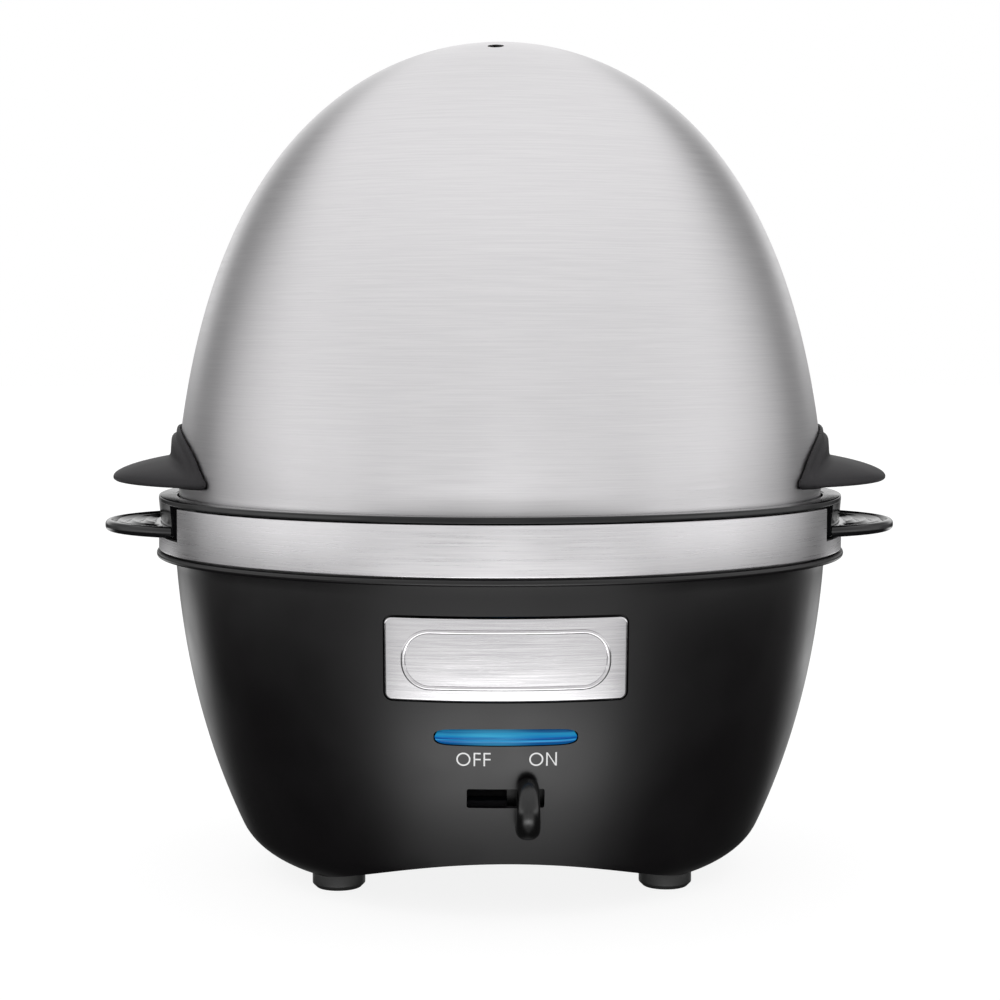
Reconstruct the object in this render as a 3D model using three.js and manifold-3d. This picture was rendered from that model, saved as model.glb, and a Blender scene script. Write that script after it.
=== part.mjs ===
// Egg cooker: a round electric base with a water dish on a heating element, a lower and an upper egg
// tray, and a steel dome lid. Millimetres, +Z up, the front towards -Y. It stands on z = 0 and its
// axis is x = y = 0.
import * as THREE from 'three';
import { mergeVertices } from 'three/addons/utils/BufferGeometryUtils.js';
import Module from 'manifold-3d';

const wasm = await Module();
wasm.setup();

// ---- driving dimensions -----------------------------------------------------------------------

const SIDES = 32; // facets round each large turned part
const GAP = 0.3; // air between parts that touch
const QUARTER = Math.PI / 2;

// Base shell: a bowl that ends in a flange, a collar inside the steel band and a ledge for the dish.
const WALL = 2.5;
const LIP = [64.1, 5.0]; // radius and height of the bowl's lower edge
const HEEL_CORNER = [70.1, 8.1]; // where the heel's curve turns up
const HEEL = [72.6, 13.4];
const BELLY = [87.8, 46.6]; // where the wall's curve bends
const BOWL_TOP = [90.4, 87.4];
const ARCH_RADIUS = 117; // the underside is a shallow vault from front to back
const ARCH_TOP = 15;
const FLANGE = { radius: 95.6, low: 87.7, top: 89.3 };
const COLLAR = { outer: 93.6, inner: 92.2, top: 100.2 };
const LEDGE = { inner: 86.3, low: 88.3, top: 90.3 };

// Steel band round the collar, notched at both sides for the tray's handles.
const BAND = { outer: 95.0, inner: 93.9, low: 89.7, top: 102.6 };
const NOTCH_FLOOR = 93.8;
const BAND_NOTCH_HALF = 41;
const COLLAR_NOTCH_HALF = 36;

// Front of the base.
const BADGE = { width: 59.7, height: 20.9, z: 69, corner: 2, recess: 0.6, proud: 0.5 };
const LENS = { width: 35.2, height: 3.9, z: 49.2, proud: 0.6, depth: 3.2 };
const SLOT = { half: 9.7, low: 30.6, top: 35.7 };
const SLOT_MIDDLE = (SLOT.low + SLOT.top) / 2;

// The lever: a half-oval fin, a stem through the slot, a guide plate behind it and a tail.
const LEVER = { x: 5.5, width: 6, length: 17, z: 31.5, reach: 9.4, bevel: 1.6 };
const STEM = { half: 2.2, rise: 1.75, back: -70.5 };
const GUIDE = { half: 5, rise: 4, front: -71.6, back: -70.2 };
const TAIL = { half: 2, back: -65.5 };

// Feet, and the cover with a pad and a socket for each foot, vent slots and stand-offs.
const FOOT = { x: 44, y: 33, radius: 7.1, top: 4.3, bevel: 1.2, plug: 2.5, plugTop: 7.1 };
const COVER = { radius: 62.2, low: 4.6, thick: 2.2, pad: 6, socket: 3 };
const VENT_SLOT = { half: [1.2, 9], pitch: 8, row: 26, top: 18.6 };
const STAND_OFF = { radius: 4, low: ARCH_TOP - 1.3, top: 18 };

// Posts that take the cover's screws, at this angle to either side of the front-to-back line.
const POST = { reach: 56, turn: 0.43, radius: 4, top: 28.5, hole: 25.5 };
const POST_ANGLES = [QUARTER, -QUARTER].flatMap((end) => [end - POST.turn, end + POST.turn]);
const RIB = { length: 24, thick: 2, below: 4 };
const SCREW = { radius: 1.5, head: 3, headHeight: 1.8, length: 12 };
const HOLE_RADIUS = SCREW.radius + GAP;

// Cord gland: a boss on the rear wall, a hole through it and a rubber bush that grips it.
const GLAND = {
  z: 26, boss: 8.6, bossBack: 70, bossFace: 81.6, hole: 5, bore: 3.4, flange: 7, flangeThick: 2.2,
  inside: 67, collar: [-1, 1.5],
};

// Heating plate, its gasket, and the clamp ring with three studs.
const PLATE = {
  radius: 91.2, rim: 92.1, sheet: 1.2, floor: 80, thick: 1.5, foot: 77.5, wall: 79, brim: 80.6,
};
const GASKET = { inner: 86.9, low: 90.6, top: 91.8 };
const STUD = { reach: 83.6, radius: 1.6, low: 81.5, count: 3 };
const CLAMP = { inner: 81.4, outer: 86.9, low: 86.4, top: 87.7 };
const NUT = { radius: 2.9, height: 2.4 };
const ELEMENT = { ring: 50, radius: 3.2, z: 74.2, gapAngle: 0.32, endAngle: 0.24, drop: 12 };
const PIN = { radius: 1.2, length: 7 };

// Inside the base: sensor, clip, fuse, buzzer, terminal block, lamp board and switch.
const SENSOR = { radius: 9, low: 68.5, top: 78.2, tab: [8, 14], tabHalf: 2, tabLow: 2, tabThick: 1 };
const CLIP = { half: 19, width: 4, thick: 1, leg: 2, legReach: 17 };
const FUSE = { y: 24, z: 70, radius: 3, half: 12, lead: 0.8, leadLength: 6 };
const BUZZER = { x: -24, y: 12, radius: 11, height: 9, well: 2.4, wellDepth: 3 };
const BLOCK = { x: 22, y: 24, half: [13, 7], height: 12, well: 2.4, wellFloor: 6, pitch: 8 };
const BOARD = { half: 17, back: -73, front: -74.6, low: 44, top: 54 };
const LAMP = { x: 9, radius: 2.4, reach: 3.5 };
const SWITCH = { half: 15, front: -69.4, back: -56, low: 26, top: 40, groove: 6, grooveRise: 2.6 };
const TAB = { pitch: 10, half: 2.4, rise: 0.4, reach: 7 };

// Wires, each a smooth run between two terminals.
const WIRE_RADIUS = 1.1;
const WIRES = {
  wire_switch_feed: [[14, 24, 26.4], [14, 24, 33.4], [14, -20, 40], [11, -42, 38], [10, -47.8, 33.4]],
  wire_thermostat: [[0, -47.8, 33.4], [1, -42, 38], [2, -28, 60], [0, -16, 71]],
  wire_fuse: [[0, 15.6, 71], [-10, 18, 74], [-26, 22, 72], [-19.8, 24, 70]],
  wire_element: [[19.8, 24, 70], [26, 26, 66], [18, 42, 50], [11.9, 48.6, 52.4]],
  wire_return: [[-11.9, 48.6, 52.4], [-11, 46, 44], [8, 38, 40], [22, 24, 35.4], [22, 24, 26.4]],
  wire_lamps: [[-10, -47.8, 33.4], [-11, -44, 38], [-13, -60, 50], [-12, -71.8, 49]],
  wire_buzzer: [[30, 24, 26.4], [30, 24, 33.4], [10, 6, 32.4], [-24, 12, 32.4], [-24, 12, 27]],
};

// Lower tray: a holed disc with a wall, a rim that covers the band, and two crescent handles.
const TRAY = { low: 98.3, top: 100.3, skirt: 95.6, skirtInner: 88, wall: 91.8, inner: 89.9 };
const TRAY_RIM = { radius: 94.9, low: 102.9, top: 104.5 };
const TRAY_HANDLE = {
  tip: 110.3, radius: 37.3, rootHalf: 34.4, low: 94.2, top: 97.2, border: 2.2, panel: 0.9,
};
const EGG_HOLE = 19;
const LOWER_RING = { reach: 57, count: 6 };
const STEAM_HOLE = { reach: 33, radius: 2.6 };

// Upper tray on three legs.
const UPPER = { radius: 58, low: 158, top: 160.2, rim: 2, rimTop: 163 };
const UPPER_RING = { reach: 31, count: 3 };
const LEG = { reach: 47, radius: 3.2, footRadius: 5, footHeight: 2 };

// Lid: an egg-shaped dome over a straight skirt.
const DOME = { radius: 93.67, foot: -39.5, height: 268.35, rise: 4.478, round: 1.986 };
const SKIRT_RADIUS = 89.4;
const SKIRT_BLEND = 1.5;
const DOME_LOW = 100.6;
const DOME_SHEET = 0.8;
const VENT = { radius: 2.2, x: -1.5, y: -21 };

// Lid handles: a half-oval saddle on the dome and a crescent wing that grows out of it.
const SADDLE = { halfAngle: 0.505, low: 108, top: 123.5, thick: 2.2 };
const WING = { tip: 108.2, radius: 49.1, low: 107.8, rise: 6.8, span: 16.2, power: 0.42 };
const LID_SCREW = { angle: 0.21, z: 110.9, head: 3, headHeight: 1.5, seat: 0.8, tip: 94.5 };

// ---- materials ---------------------------------------------------------------------------------

const look = (color, roughness, metalness = 0) => ({ color, roughness, metalness });
const SATIN_BLACK = look(0x1b1b1d, 0.42);
const GLOSS_BLACK = look(0x0d0d0e, 0.18);
const GREY_PLASTIC = look(0x3a3a3d, 0.4);
const BRUSHED_STEEL = look(0xc4c4c6, 0.34, 1);
const BADGE_STEEL = look(0xd8d8da, 0.3, 1);
const BLUE_LENS = look(0x0e86d0, 0.15);
const DARK_COATING = look(0x2a2a2c, 0.35, 0.6);
const ZINC = look(0x9a9da2, 0.4, 1);
const SILICONE = look(0xb9b3a8, 0.8);
const RUBBER = look(0x141414, 0.8);
const CERAMIC = look(0xe6e1d4, 0.7);
const CIRCUIT_GREEN = look(0x1f5a34, 0.5);

// ---- solids ------------------------------------------------------------------------------------

function solid(geometry) {
  geometry.deleteAttribute('normal');
  geometry.deleteAttribute('uv');
  const merged = mergeVertices(geometry, 1e-4);
  return new wasm.Manifold(new wasm.Mesh({
    numProp: 3,
    vertProperties: merged.attributes.position.array,
    triVerts: new Uint32Array(merged.index.array),
  }));
}

function geometryOf(form) {
  const { vertProperties, triVerts } = form.getMesh();
  const geometry = new THREE.BufferGeometry();
  geometry.setAttribute('position', new THREE.BufferAttribute(vertProperties, 3));
  geometry.setIndex(new THREE.BufferAttribute(triVerts, 1));
  return geometry;
}

const join = (first, ...others) => others.reduce((sum, other) => sum.add(other), first);
const cut = (body, ...tools) => tools.reduce((rest, tool) => rest.subtract(tool), body);

// A turned solid. The profile's [radius, height] points go anticlockwise: out, up and back in.
function turned(profile, sides = SIDES) {
  const points = profile.map(([r, z]) => new THREE.Vector2(r, z));
  const [first, last] = [points[0], points[points.length - 1]];
  if (first.x > 0 || last.x > 0) points.push(first.clone());
  return solid(new THREE.LatheGeometry(points, sides).rotateX(QUARTER));
}

function rod(radius, low, top, x = 0, y = 0, sides = 12) {
  const geometry = new THREE.CylinderGeometry(radius, radius, top - low, sides);
  return solid(geometry.rotateX(QUARTER).translate(x, y, (low + top) / 2));
}

// A rod between two points.
function rodBetween(radius, from, to, sides = 12) {
  const axis = new THREE.Vector3().subVectors(to, from);
  const turn = new THREE.Quaternion().setFromUnitVectors(
    new THREE.Vector3(0, 1, 0), axis.clone().normalize());
  const middle = new THREE.Vector3().addVectors(from, to).multiplyScalar(0.5);
  const geometry = new THREE.CylinderGeometry(radius, radius, axis.length(), sides);
  return solid(geometry.applyQuaternion(turn).translate(middle.x, middle.y, middle.z));
}

function box([x0, x1], [y0, y1], [z0, z1]) {
  const geometry = new THREE.BoxGeometry(x1 - x0, y1 - y0, z1 - z0);
  return solid(geometry.translate((x0 + x1) / 2, (y0 + y1) / 2, (z0 + z1) / 2));
}

// An outline drawn in x and z, pushed through from y = near to y = far.
function throughY(shape, near, far, curveSegments = 8) {
  const geometry = new THREE.ExtrudeGeometry(
    shape, { depth: far - near, bevelEnabled: false, curveSegments });
  return solid(geometry.rotateX(QUARTER).translate(0, far, 0));
}

// A round tube along smooth points.
function tube(points, radius, sides, steps) {
  const section = new THREE.Shape().absarc(0, 0, radius, 0, 2 * Math.PI);
  const path = new THREE.CatmullRomCurve3(points.map(([x, y, z]) => new THREE.Vector3(x, y, z)));
  return solid(new THREE.ExtrudeGeometry(
    section, { steps, extrudePath: path, curveSegments: sides / 2 }));
}

const polar = (reach, angle, z) =>
  new THREE.Vector3(reach * Math.cos(angle), reach * Math.sin(angle), z);
const ringAngles = (count, start = 0) =>
  Array.from({ length: count }, (_, i) => start + (2 * Math.PI * i) / count);

function roundedRectangle(width, height, radius, z) {
  const [x, low] = [-width / 2, z - height / 2];
  const shape = new THREE.Shape().moveTo(x + radius, low);
  shape.lineTo(x + width - radius, low);
  shape.absarc(x + width - radius, low + radius, radius, -QUARTER, 0);
  shape.absarc(x + width - radius, low + height - radius, radius, 0, QUARTER);
  shape.absarc(x + radius, low + height - radius, radius, QUARTER, 2 * QUARTER);
  shape.absarc(x + radius, low + radius, radius, 2 * QUARTER, 3 * QUARTER);
  return shape;
}

// A long lens outline: two shallow arcs that meet at blunt ends.
function lensOutline(width, height, z) {
  const [half, rise, blunt] = [width / 2, height / 2, height / 5];
  const shape = new THREE.Shape().moveTo(-half, z - blunt);
  shape.bezierCurveTo(-half * 0.8, z - rise, -half * 0.5, z - rise, 0, z - rise);
  shape.bezierCurveTo(half * 0.5, z - rise, half * 0.8, z - rise, half, z - blunt);
  shape.lineTo(half, z + blunt);
  shape.bezierCurveTo(half * 0.8, z + rise, half * 0.5, z + rise, 0, z + rise);
  shape.bezierCurveTo(-half * 0.5, z + rise, -half * 0.8, z + rise, -half, z + blunt);
  return shape;
}

// ---- the model's tree --------------------------------------------------------------------------

const cooker = new THREE.Group();

function addPiece(group, name, form, { color, roughness, metalness }) {
  const material = new THREE.MeshStandardMaterial({ color, roughness, metalness });
  const mesh = new THREE.Mesh(geometryOf(form), material);
  mesh.name = name;
  group.add(mesh);
}

// ---- bowl surface ------------------------------------------------------------------------------

const vector = ([r, z]) => new THREE.Vector2(r, z);
const heelCurve = new THREE.QuadraticBezierCurve(...[LIP, HEEL_CORNER, HEEL].map(vector));
const wallCurve = new THREE.QuadraticBezierCurve(...[HEEL, BELLY, BOWL_TOP].map(vector));
const bowlPoints = [...heelCurve.getPoints(2), ...wallCurve.getPoints(5).slice(1)];

// The bowl's outside profile moved outwards along its normals.
function bowlProfile(offset) {
  return bowlPoints.map((point, i) => {
    const before = bowlPoints[Math.max(i - 1, 0)];
    const after = bowlPoints[Math.min(i + 1, bowlPoints.length - 1)];
    const along = after.clone().sub(before).normalize();
    return [point.x + along.y * offset, point.y - along.x * offset];
  });
}

const bowlSolid = turned([[0, LIP[1]], ...bowlProfile(0), [0, BOWL_TOP[1]]]);

// A thin layer of the bowl's wall, from one offset to another.
const bowlLayer = (inner, outer) =>
  turned([...bowlProfile(outer), ...bowlProfile(inner).reverse()]);

// A front patch of that layer inside an outline drawn in x and z.
const frontPatch = (shape, inner, outer) => bowlLayer(inner, outer).intersect(
  throughY(shape, -FLANGE.radius, -BOWL_TOP[0] / 2));

// The bowl's outside radius at a height on its wall.
function bowlRadius(z) {
  const a = HEEL[1] - 2 * BELLY[1] + BOWL_TOP[1];
  const b = 2 * (BELLY[1] - HEEL[1]);
  const t = (-b + Math.sqrt(b * b - 4 * a * (HEEL[1] - z))) / (2 * a);
  return wallCurve.getPoint(t).x;
}

// The vault under the base, moved up by lift.
const vault = (lift) => rodBetween(
  ARCH_RADIUS + lift,
  new THREE.Vector3(0, -FLANGE.radius, ARCH_TOP - ARCH_RADIUS),
  new THREE.Vector3(0, FLANGE.radius, ARCH_TOP - ARCH_RADIUS), 72);

// ---- base --------------------------------------------------------------------------------------

// The height of the cover's underside at a distance x from the middle of the vault.
const coverLowAt = (x) => Math.max(
  COVER.low, ARCH_TOP - ARCH_RADIUS + Math.sqrt(ARCH_RADIUS ** 2 - x ** 2));

// Four screw posts, each tied to the wall by a rib.
function coverPosts() {
  const posts = POST_ANGLES.map((angle) => {
    const post = polar(POST.reach, angle, 0);
    const low = coverLowAt(Math.abs(post.x) - POST.radius) + COVER.thick + GAP;
    const rib = new THREE.BoxGeometry(RIB.length, RIB.thick, POST.top - low - RIB.below);
    rib.translate(POST.reach + RIB.length / 2, 0, (POST.top + low + RIB.below) / 2).rotateZ(angle);
    return join(rod(POST.radius, low, POST.top, post.x, post.y), solid(rib));
  });
  return join(...posts).intersect(bowlSolid);
}

function screwHoles() {
  return join(...POST_ANGLES.map((angle) => {
    const post = polar(POST.reach, angle, 0);
    return rod(HOLE_RADIUS, 0, POST.hole, post.x, post.y);
  }));
}

// A rod that runs from front to back through the rear wall, at the gland's height.
const rear = (radius, near, far, sides = 16) => rodBetween(
  radius, new THREE.Vector3(0, near, GLAND.z), new THREE.Vector3(0, far, GLAND.z), sides);

function baseShell() {
  const inside = bowlProfile(-WALL).filter(([, z]) => z < FLANGE.low - WALL).reverse();
  const shell = turned([
    ...bowlProfile(0),
    [FLANGE.radius - 0.5, FLANGE.low],
    [FLANGE.radius, FLANGE.low + 0.5],
    [FLANGE.radius, FLANGE.top],
    [COLLAR.outer, FLANGE.top],
    [COLLAR.outer, COLLAR.top],
    [COLLAR.inner, COLLAR.top],
    [COLLAR.inner, LEDGE.top],
    [LEDGE.inner, LEDGE.top],
    [LEDGE.inner, LEDGE.low],
    [BOWL_TOP[0] - WALL, LEDGE.low - 1],
    ...inside,
  ]);
  const reach = FLANGE.radius + 1;
  const notch = box([-reach, reach], [-COLLAR_NOTCH_HALF, COLLAR_NOTCH_HALF],
    [NOTCH_FLOOR, COLLAR.top + 1]);
  const slot = box([-SLOT.half, SLOT.half], [-FLANGE.radius, -BOWL_TOP[0] / 2],
    [SLOT.low, SLOT.top]);
  const badge = roundedRectangle(
    BADGE.width + 2 * GAP, BADGE.height + 2 * GAP, BADGE.corner + GAP, BADGE.z);
  const lens = lensOutline(LENS.width + 2 * GAP, LENS.height + 2 * GAP, LENS.z);
  return cut(
    join(shell, coverPosts(), rear(GLAND.boss, GLAND.bossBack, GLAND.bossFace)),
    vault(0), notch, slot, screwHoles(),
    frontPatch(badge, -BADGE.recess, 3),
    frontPatch(lens, -2 * WALL, 3),
    rear(GLAND.hole, GLAND.inside - 4, GLAND.bossFace + 1),
  );
}

function rimBand() {
  const ring = turned([
    [BAND.inner, BAND.low], [BAND.outer, BAND.low], [BAND.outer, BAND.top], [BAND.inner, BAND.top],
  ]);
  const reach = BAND.outer + 1;
  return cut(ring, box([-reach, reach], [-BAND_NOTCH_HALF, BAND_NOTCH_HALF],
    [NOTCH_FLOOR, BAND.top + 1]));
}

// The cover is a sheet bent over the vault that fills the shell's opening, with a pad for each foot
// and two rows of vent slots.
function baseCover() {
  const inside = bowlProfile(-WALL - GAP);
  const opening = join(
    rod(COVER.radius, COVER.low, inside[0][1] + 1, 0, 0, SIDES),
    turned([[0, inside[0][1]], ...inside, [0, BOWL_TOP[1]]]),
  );
  const slab = rod(BOWL_TOP[0], 0, COVER.low + COVER.thick, 0, 0, SIDES);
  const sheet = cut(opening.intersect(join(slab, vault(COVER.thick))), vault(0));
  const corners = [-1, 1].flatMap((sx) => [-1, 1].map((sy) => [sx * FOOT.x, sy * FOOT.y]));
  const pads = corners.map(([x, y]) =>
    rod(FOOT.radius, COVER.low, COVER.low + COVER.pad, x, y, 16));
  const sockets = corners.map(([x, y]) => rod(FOOT.plug + GAP, 0, COVER.low + COVER.socket, x, y));
  const { half, pitch, row, top } = VENT_SLOT;
  const slots = [-row, row].flatMap((y) => [-2, -1, 0, 1, 2].map((i) =>
    box([i * pitch - half[0], i * pitch + half[0]], [y - half[1], y + half[1]], [0, top])));
  const standOffs = [BUZZER, BLOCK].map(({ x, y }) =>
    rod(STAND_OFF.radius, STAND_OFF.low, STAND_OFF.top, x, y));
  return cut(join(sheet, ...pads, ...standOffs), ...sockets, ...slots, screwHoles());
}

// A foot: a short chamfered pad with a plug that goes up into the cover's socket.
function foot(x, y) {
  const pad = turned([
    [0, 0], [FOOT.radius - FOOT.bevel, 0], [FOOT.radius, FOOT.bevel],
    [FOOT.radius, FOOT.top], [FOOT.plug, FOOT.top], [FOOT.plug, FOOT.plugTop], [0, FOOT.plugTop],
  ], 16);
  return pad.translate(x, y, 0);
}

function coverScrew(angle) {
  const { x, y } = polar(POST.reach, angle, 0);
  const head = coverLowAt(Math.abs(x) + SCREW.head) - GAP;
  return join(
    rod(SCREW.head, head - SCREW.headHeight, head, x, y),
    rod(SCREW.radius, head - 1, head + SCREW.length, x, y),
  );
}

// The gland grips the shell's boss between a flange outside and a wider collar inside.
function cordGland() {
  const { bossFace, hole, bore, flange, flangeThick, inside, collar } = GLAND;
  const body = join(
    rear(flange, bossFace + GAP, bossFace + GAP + flangeThick),
    rear(hole - GAP, inside, bossFace + 1),
    rear(flange, inside + collar[0], inside + collar[1]),
  );
  return cut(body, rear(bore, inside - 2, bossFace + 4));
}

function badgePlate() {
  return frontPatch(roundedRectangle(BADGE.width, BADGE.height, BADGE.corner, BADGE.z),
    -BADGE.recess + GAP, BADGE.proud);
}

function indicatorLens() {
  return frontPatch(lensOutline(LENS.width, LENS.height, LENS.z), -LENS.depth, LENS.proud);
}

// ---- inside the base ---------------------------------------------------------------------------

function heatingPlate() {
  const { radius, rim, sheet, floor, thick, foot, wall, brim } = PLATE;
  const dish = turned([
    [0, floor - thick], [foot, floor - thick], [wall, floor + 0.5], [brim, rim],
    [radius, rim], [radius, rim + sheet], [brim - sheet, rim + sheet], [wall - sheet, floor + sheet],
    [wall - 2 * sheet, floor], [0, floor],
  ]);
  const studs = ringAngles(STUD.count, QUARTER).map((angle) => {
    const { x, y } = polar(STUD.reach, angle, 0);
    return rod(STUD.radius, STUD.low, rim + sheet / 2, x, y);
  });
  return join(dish, ...studs);
}

function plateGasket() {
  const { inner, low, top } = GASKET;
  return turned([[inner, low], [PLATE.radius, low], [PLATE.radius, top], [inner, top]]);
}

function clampRing() {
  const { inner, outer, low, top } = CLAMP;
  const holes = ringAngles(STUD.count, QUARTER).map((angle) => {
    const { x, y } = polar(STUD.reach, angle, 0);
    return rod(STUD.radius + GAP, low - 1, top + 1, x, y);
  });
  return cut(turned([[inner, low], [outer, low], [outer, top], [inner, top]]), ...holes);
}

function clampNut(angle) {
  const { x, y } = polar(STUD.reach, angle, 0);
  const top = CLAMP.low - GAP;
  return cut(
    rod(NUT.radius, top - NUT.height, top, x, y, 6),
    rod(STUD.radius + GAP, top - NUT.height - 1, top + 1, x, y),
  );
}

// The element runs nearly all the way round, and both its ends turn down at the rear.
function heatingElement() {
  const { ring, radius, z, gapAngle, endAngle, drop } = ELEMENT;
  const turnAngles = Array.from({ length: 17 }, (_, i) =>
    QUARTER + gapAngle + ((2 * Math.PI - 2 * gapAngle) * i) / 16);
  const end = (angle) => [drop, drop / 2].map((fall) => polar(ring, angle, z - fall).toArray());
  const round = turnAngles.map((angle) => polar(ring, angle, z).toArray());
  const first = end(QUARTER + endAngle);
  const last = end(QUARTER - endAngle).reverse();
  return tube([...first, ...round, ...last], radius, 6, 30);
}

function elementPin(side) {
  const { x, y } = polar(ELEMENT.ring, QUARTER + side * ELEMENT.endAngle, 0);
  const top = ELEMENT.z - ELEMENT.drop - 1;
  return rod(PIN.radius, top - PIN.length, top, x, y, 8);
}

function thermostat() {
  const { radius, low, top, tab: [near, far], tabHalf, tabLow, tabThick } = SENSOR;
  const tabs = [[-far, -near], [near, far]].map((reach) =>
    box([-tabHalf, tabHalf], reach, [low + tabLow, low + tabLow + tabThick]));
  return join(rod(radius, low, top, 0, 0, 24), ...tabs);
}

function thermostatClip() {
  const { half, width, thick, leg, legReach } = CLIP;
  const top = SENSOR.low - GAP;
  const strap = box([-half, half], [-width, width], [top - thick, top]);
  const legs = [-legReach, legReach].map((x) => rod(leg, SENSOR.low - 1, SENSOR.top, x, 0));
  return join(strap, ...legs);
}

function thermalFuse() {
  const { y, z, radius, half, lead, leadLength } = FUSE;
  const point = (x) => new THREE.Vector3(x, y, z);
  return join(
    rodBetween(radius, point(-half), point(half), 12),
    rodBetween(lead, point(-half - leadLength), point(half + leadLength), 8),
  );
}

function buzzer() {
  const { x, y, radius, height, well, wellDepth } = BUZZER;
  const top = STAND_OFF.top + GAP + height;
  return cut(rod(radius, top - height, top, x, y, 24), rod(well, top - wellDepth, top + 1, x, y));
}

function terminalBlock() {
  const { x, y, half, height, well, wellFloor, pitch } = BLOCK;
  const low = STAND_OFF.top + GAP;
  const body = box([x - half[0], x + half[0]], [y - half[1], y + half[1]], [low, low + height]);
  const wells = [-pitch, 0, pitch].map((step) =>
    rod(well, low + wellFloor, low + height + 1, x + step, y));
  return cut(body, ...wells);
}

function ledBoard() {
  const { half, back, front, low, top } = BOARD;
  const board = box([-half, half], [front, back], [low, top]);
  const lamps = [-LAMP.x, LAMP.x].map((x) => rodBetween(LAMP.radius,
    new THREE.Vector3(x, front - LAMP.reach, LENS.z), new THREE.Vector3(x, front + 0.5, LENS.z)));
  return join(board, ...lamps);
}

function switchBody() {
  const { half, front, back, low, top, groove, grooveRise } = SWITCH;
  const channel = box([-SLOT.half - 1, SLOT.half + 1], [front - 1, front + groove],
    [SLOT_MIDDLE - grooveRise, SLOT_MIDDLE + grooveRise]);
  const tabs = [-TAB.pitch, 0, TAB.pitch].map((x) => box(
    [x - TAB.half, x + TAB.half], [back - 1, back + TAB.reach],
    [SLOT_MIDDLE - TAB.rise, SLOT_MIDDLE + TAB.rise]));
  return cut(join(box([-half, half], [front, back], [low, top]), ...tabs), channel);
}

// The lever's fin is a half oval outside the sloping wall. Its stem passes the slot, a guide plate
// covers the slot from inside, and a tail reaches into the switch.
function switchLever() {
  const { x, width, length, z, reach, bevel } = LEVER;
  const slope = Math.atan2(bowlRadius(z + 1) - bowlRadius(z - 1), 2);
  const fin = new THREE.Shape();
  fin.absellipse(0, 0, reach - bevel, length / 2 - bevel, -QUARTER, QUARTER);
  const geometry = new THREE.ExtrudeGeometry(fin, {
    depth: width - 2 * bevel, bevelSize: bevel, bevelThickness: bevel,
    bevelSegments: 2, curveSegments: 12,
  });
  const outwards = new THREE.Vector3(0, -Math.cos(slope), -Math.sin(slope));
  const along = new THREE.Vector3(0, -Math.sin(slope), Math.cos(slope));
  const sideways = new THREE.Vector3(-1, 0, 0);
  const foot = new THREE.Vector3(x + width / 2 - bevel, -bowlRadius(z), z)
    .addScaledVector(outwards, bevel + 2 * GAP);
  geometry.applyMatrix4(new THREE.Matrix4().makeBasis(outwards, along, sideways)
    .setPosition(foot));
  const bar = (halfWidth, rise, front, back) => box([x - halfWidth, x + halfWidth], [front, back],
    [SLOT_MIDDLE - rise, SLOT_MIDDLE + rise]);
  return join(
    solid(geometry),
    bar(STEM.half, STEM.rise, -bowlRadius(z) - 2, STEM.back),
    bar(GUIDE.half, GUIDE.rise, GUIDE.front, GUIDE.back),
    bar(TAIL.half, STEM.rise, STEM.back - 0.5, TAIL.back),
  );
}

// ---- trays -------------------------------------------------------------------------------------

const holeAt = (reach, angle, radius, low, top, sides = 18) => {
  const { x, y } = polar(reach, angle, 0);
  return rod(radius, low, top, x, y, sides);
};

// One crescent handle with its riser, on the side that sign gives. Its top has a sunk panel inside
// a raised border.
function trayHandle(sign) {
  const { tip, radius, rootHalf, low, top, border, panel } = TRAY_HANDLE;
  const middle = sign * (tip - radius);
  const disc = (size, from, to) => rod(size, from, to, middle, 0, 28);
  const outside = cut(
    box([-tip - 1, tip + 1], [-rootHalf, rootHalf], [low, TRAY_RIM.top]),
    rod(TRAY.inner, low - 1, TRAY_RIM.top + 1, 0, 0, SIDES),
  );
  const side = box(sign > 0 ? [0, tip + 1] : [-tip - 1, 0], [-tip, tip], [0, TRAY_RIM.top + 1]);
  const riser = turned([
    [TRAY.inner, low], [TRAY_RIM.radius - 0.8, low], [TRAY_RIM.radius, TRAY_RIM.top],
    [TRAY.inner, TRAY_RIM.top],
  ]);
  const sunk = cut(disc(radius - border, top - panel, top + 1),
    rod(TRAY_RIM.radius + 2, 0, TRAY_RIM.top, 0, 0, SIDES));
  const plate = cut(disc(radius, low, top), sunk);
  return join(plate, riser).intersect(outside).intersect(side);
}

function eggTray() {
  const body = turned([
    [0, TRAY.low], [TRAY.skirtInner, TRAY.low], [TRAY.skirtInner, TRAY.skirt],
    [TRAY.wall, TRAY.skirt], [TRAY.wall, TRAY_RIM.low], [TRAY_RIM.radius, TRAY_RIM.low],
    [TRAY_RIM.radius, TRAY_RIM.top - 0.3], [TRAY_RIM.radius - 0.3, TRAY_RIM.top],
    [TRAY.inner, TRAY_RIM.top], [TRAY.inner, TRAY.top], [0, TRAY.top],
  ]);
  const [below, above] = [TRAY.low - 1, TRAY.top + 1];
  const eggHoles = ringAngles(LOWER_RING.count).map((angle) =>
    holeAt(LOWER_RING.reach, angle, EGG_HOLE, below, above));
  const steamHoles = ringAngles(LOWER_RING.count, Math.PI / 6).map((angle) =>
    holeAt(STEAM_HOLE.reach, angle, STEAM_HOLE.radius, below, above, 12));
  return cut(
    join(body, trayHandle(1), trayHandle(-1)),
    rod(EGG_HOLE, below, above, 0, 0, 18), ...eggHoles, ...steamHoles,
  );
}

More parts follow.
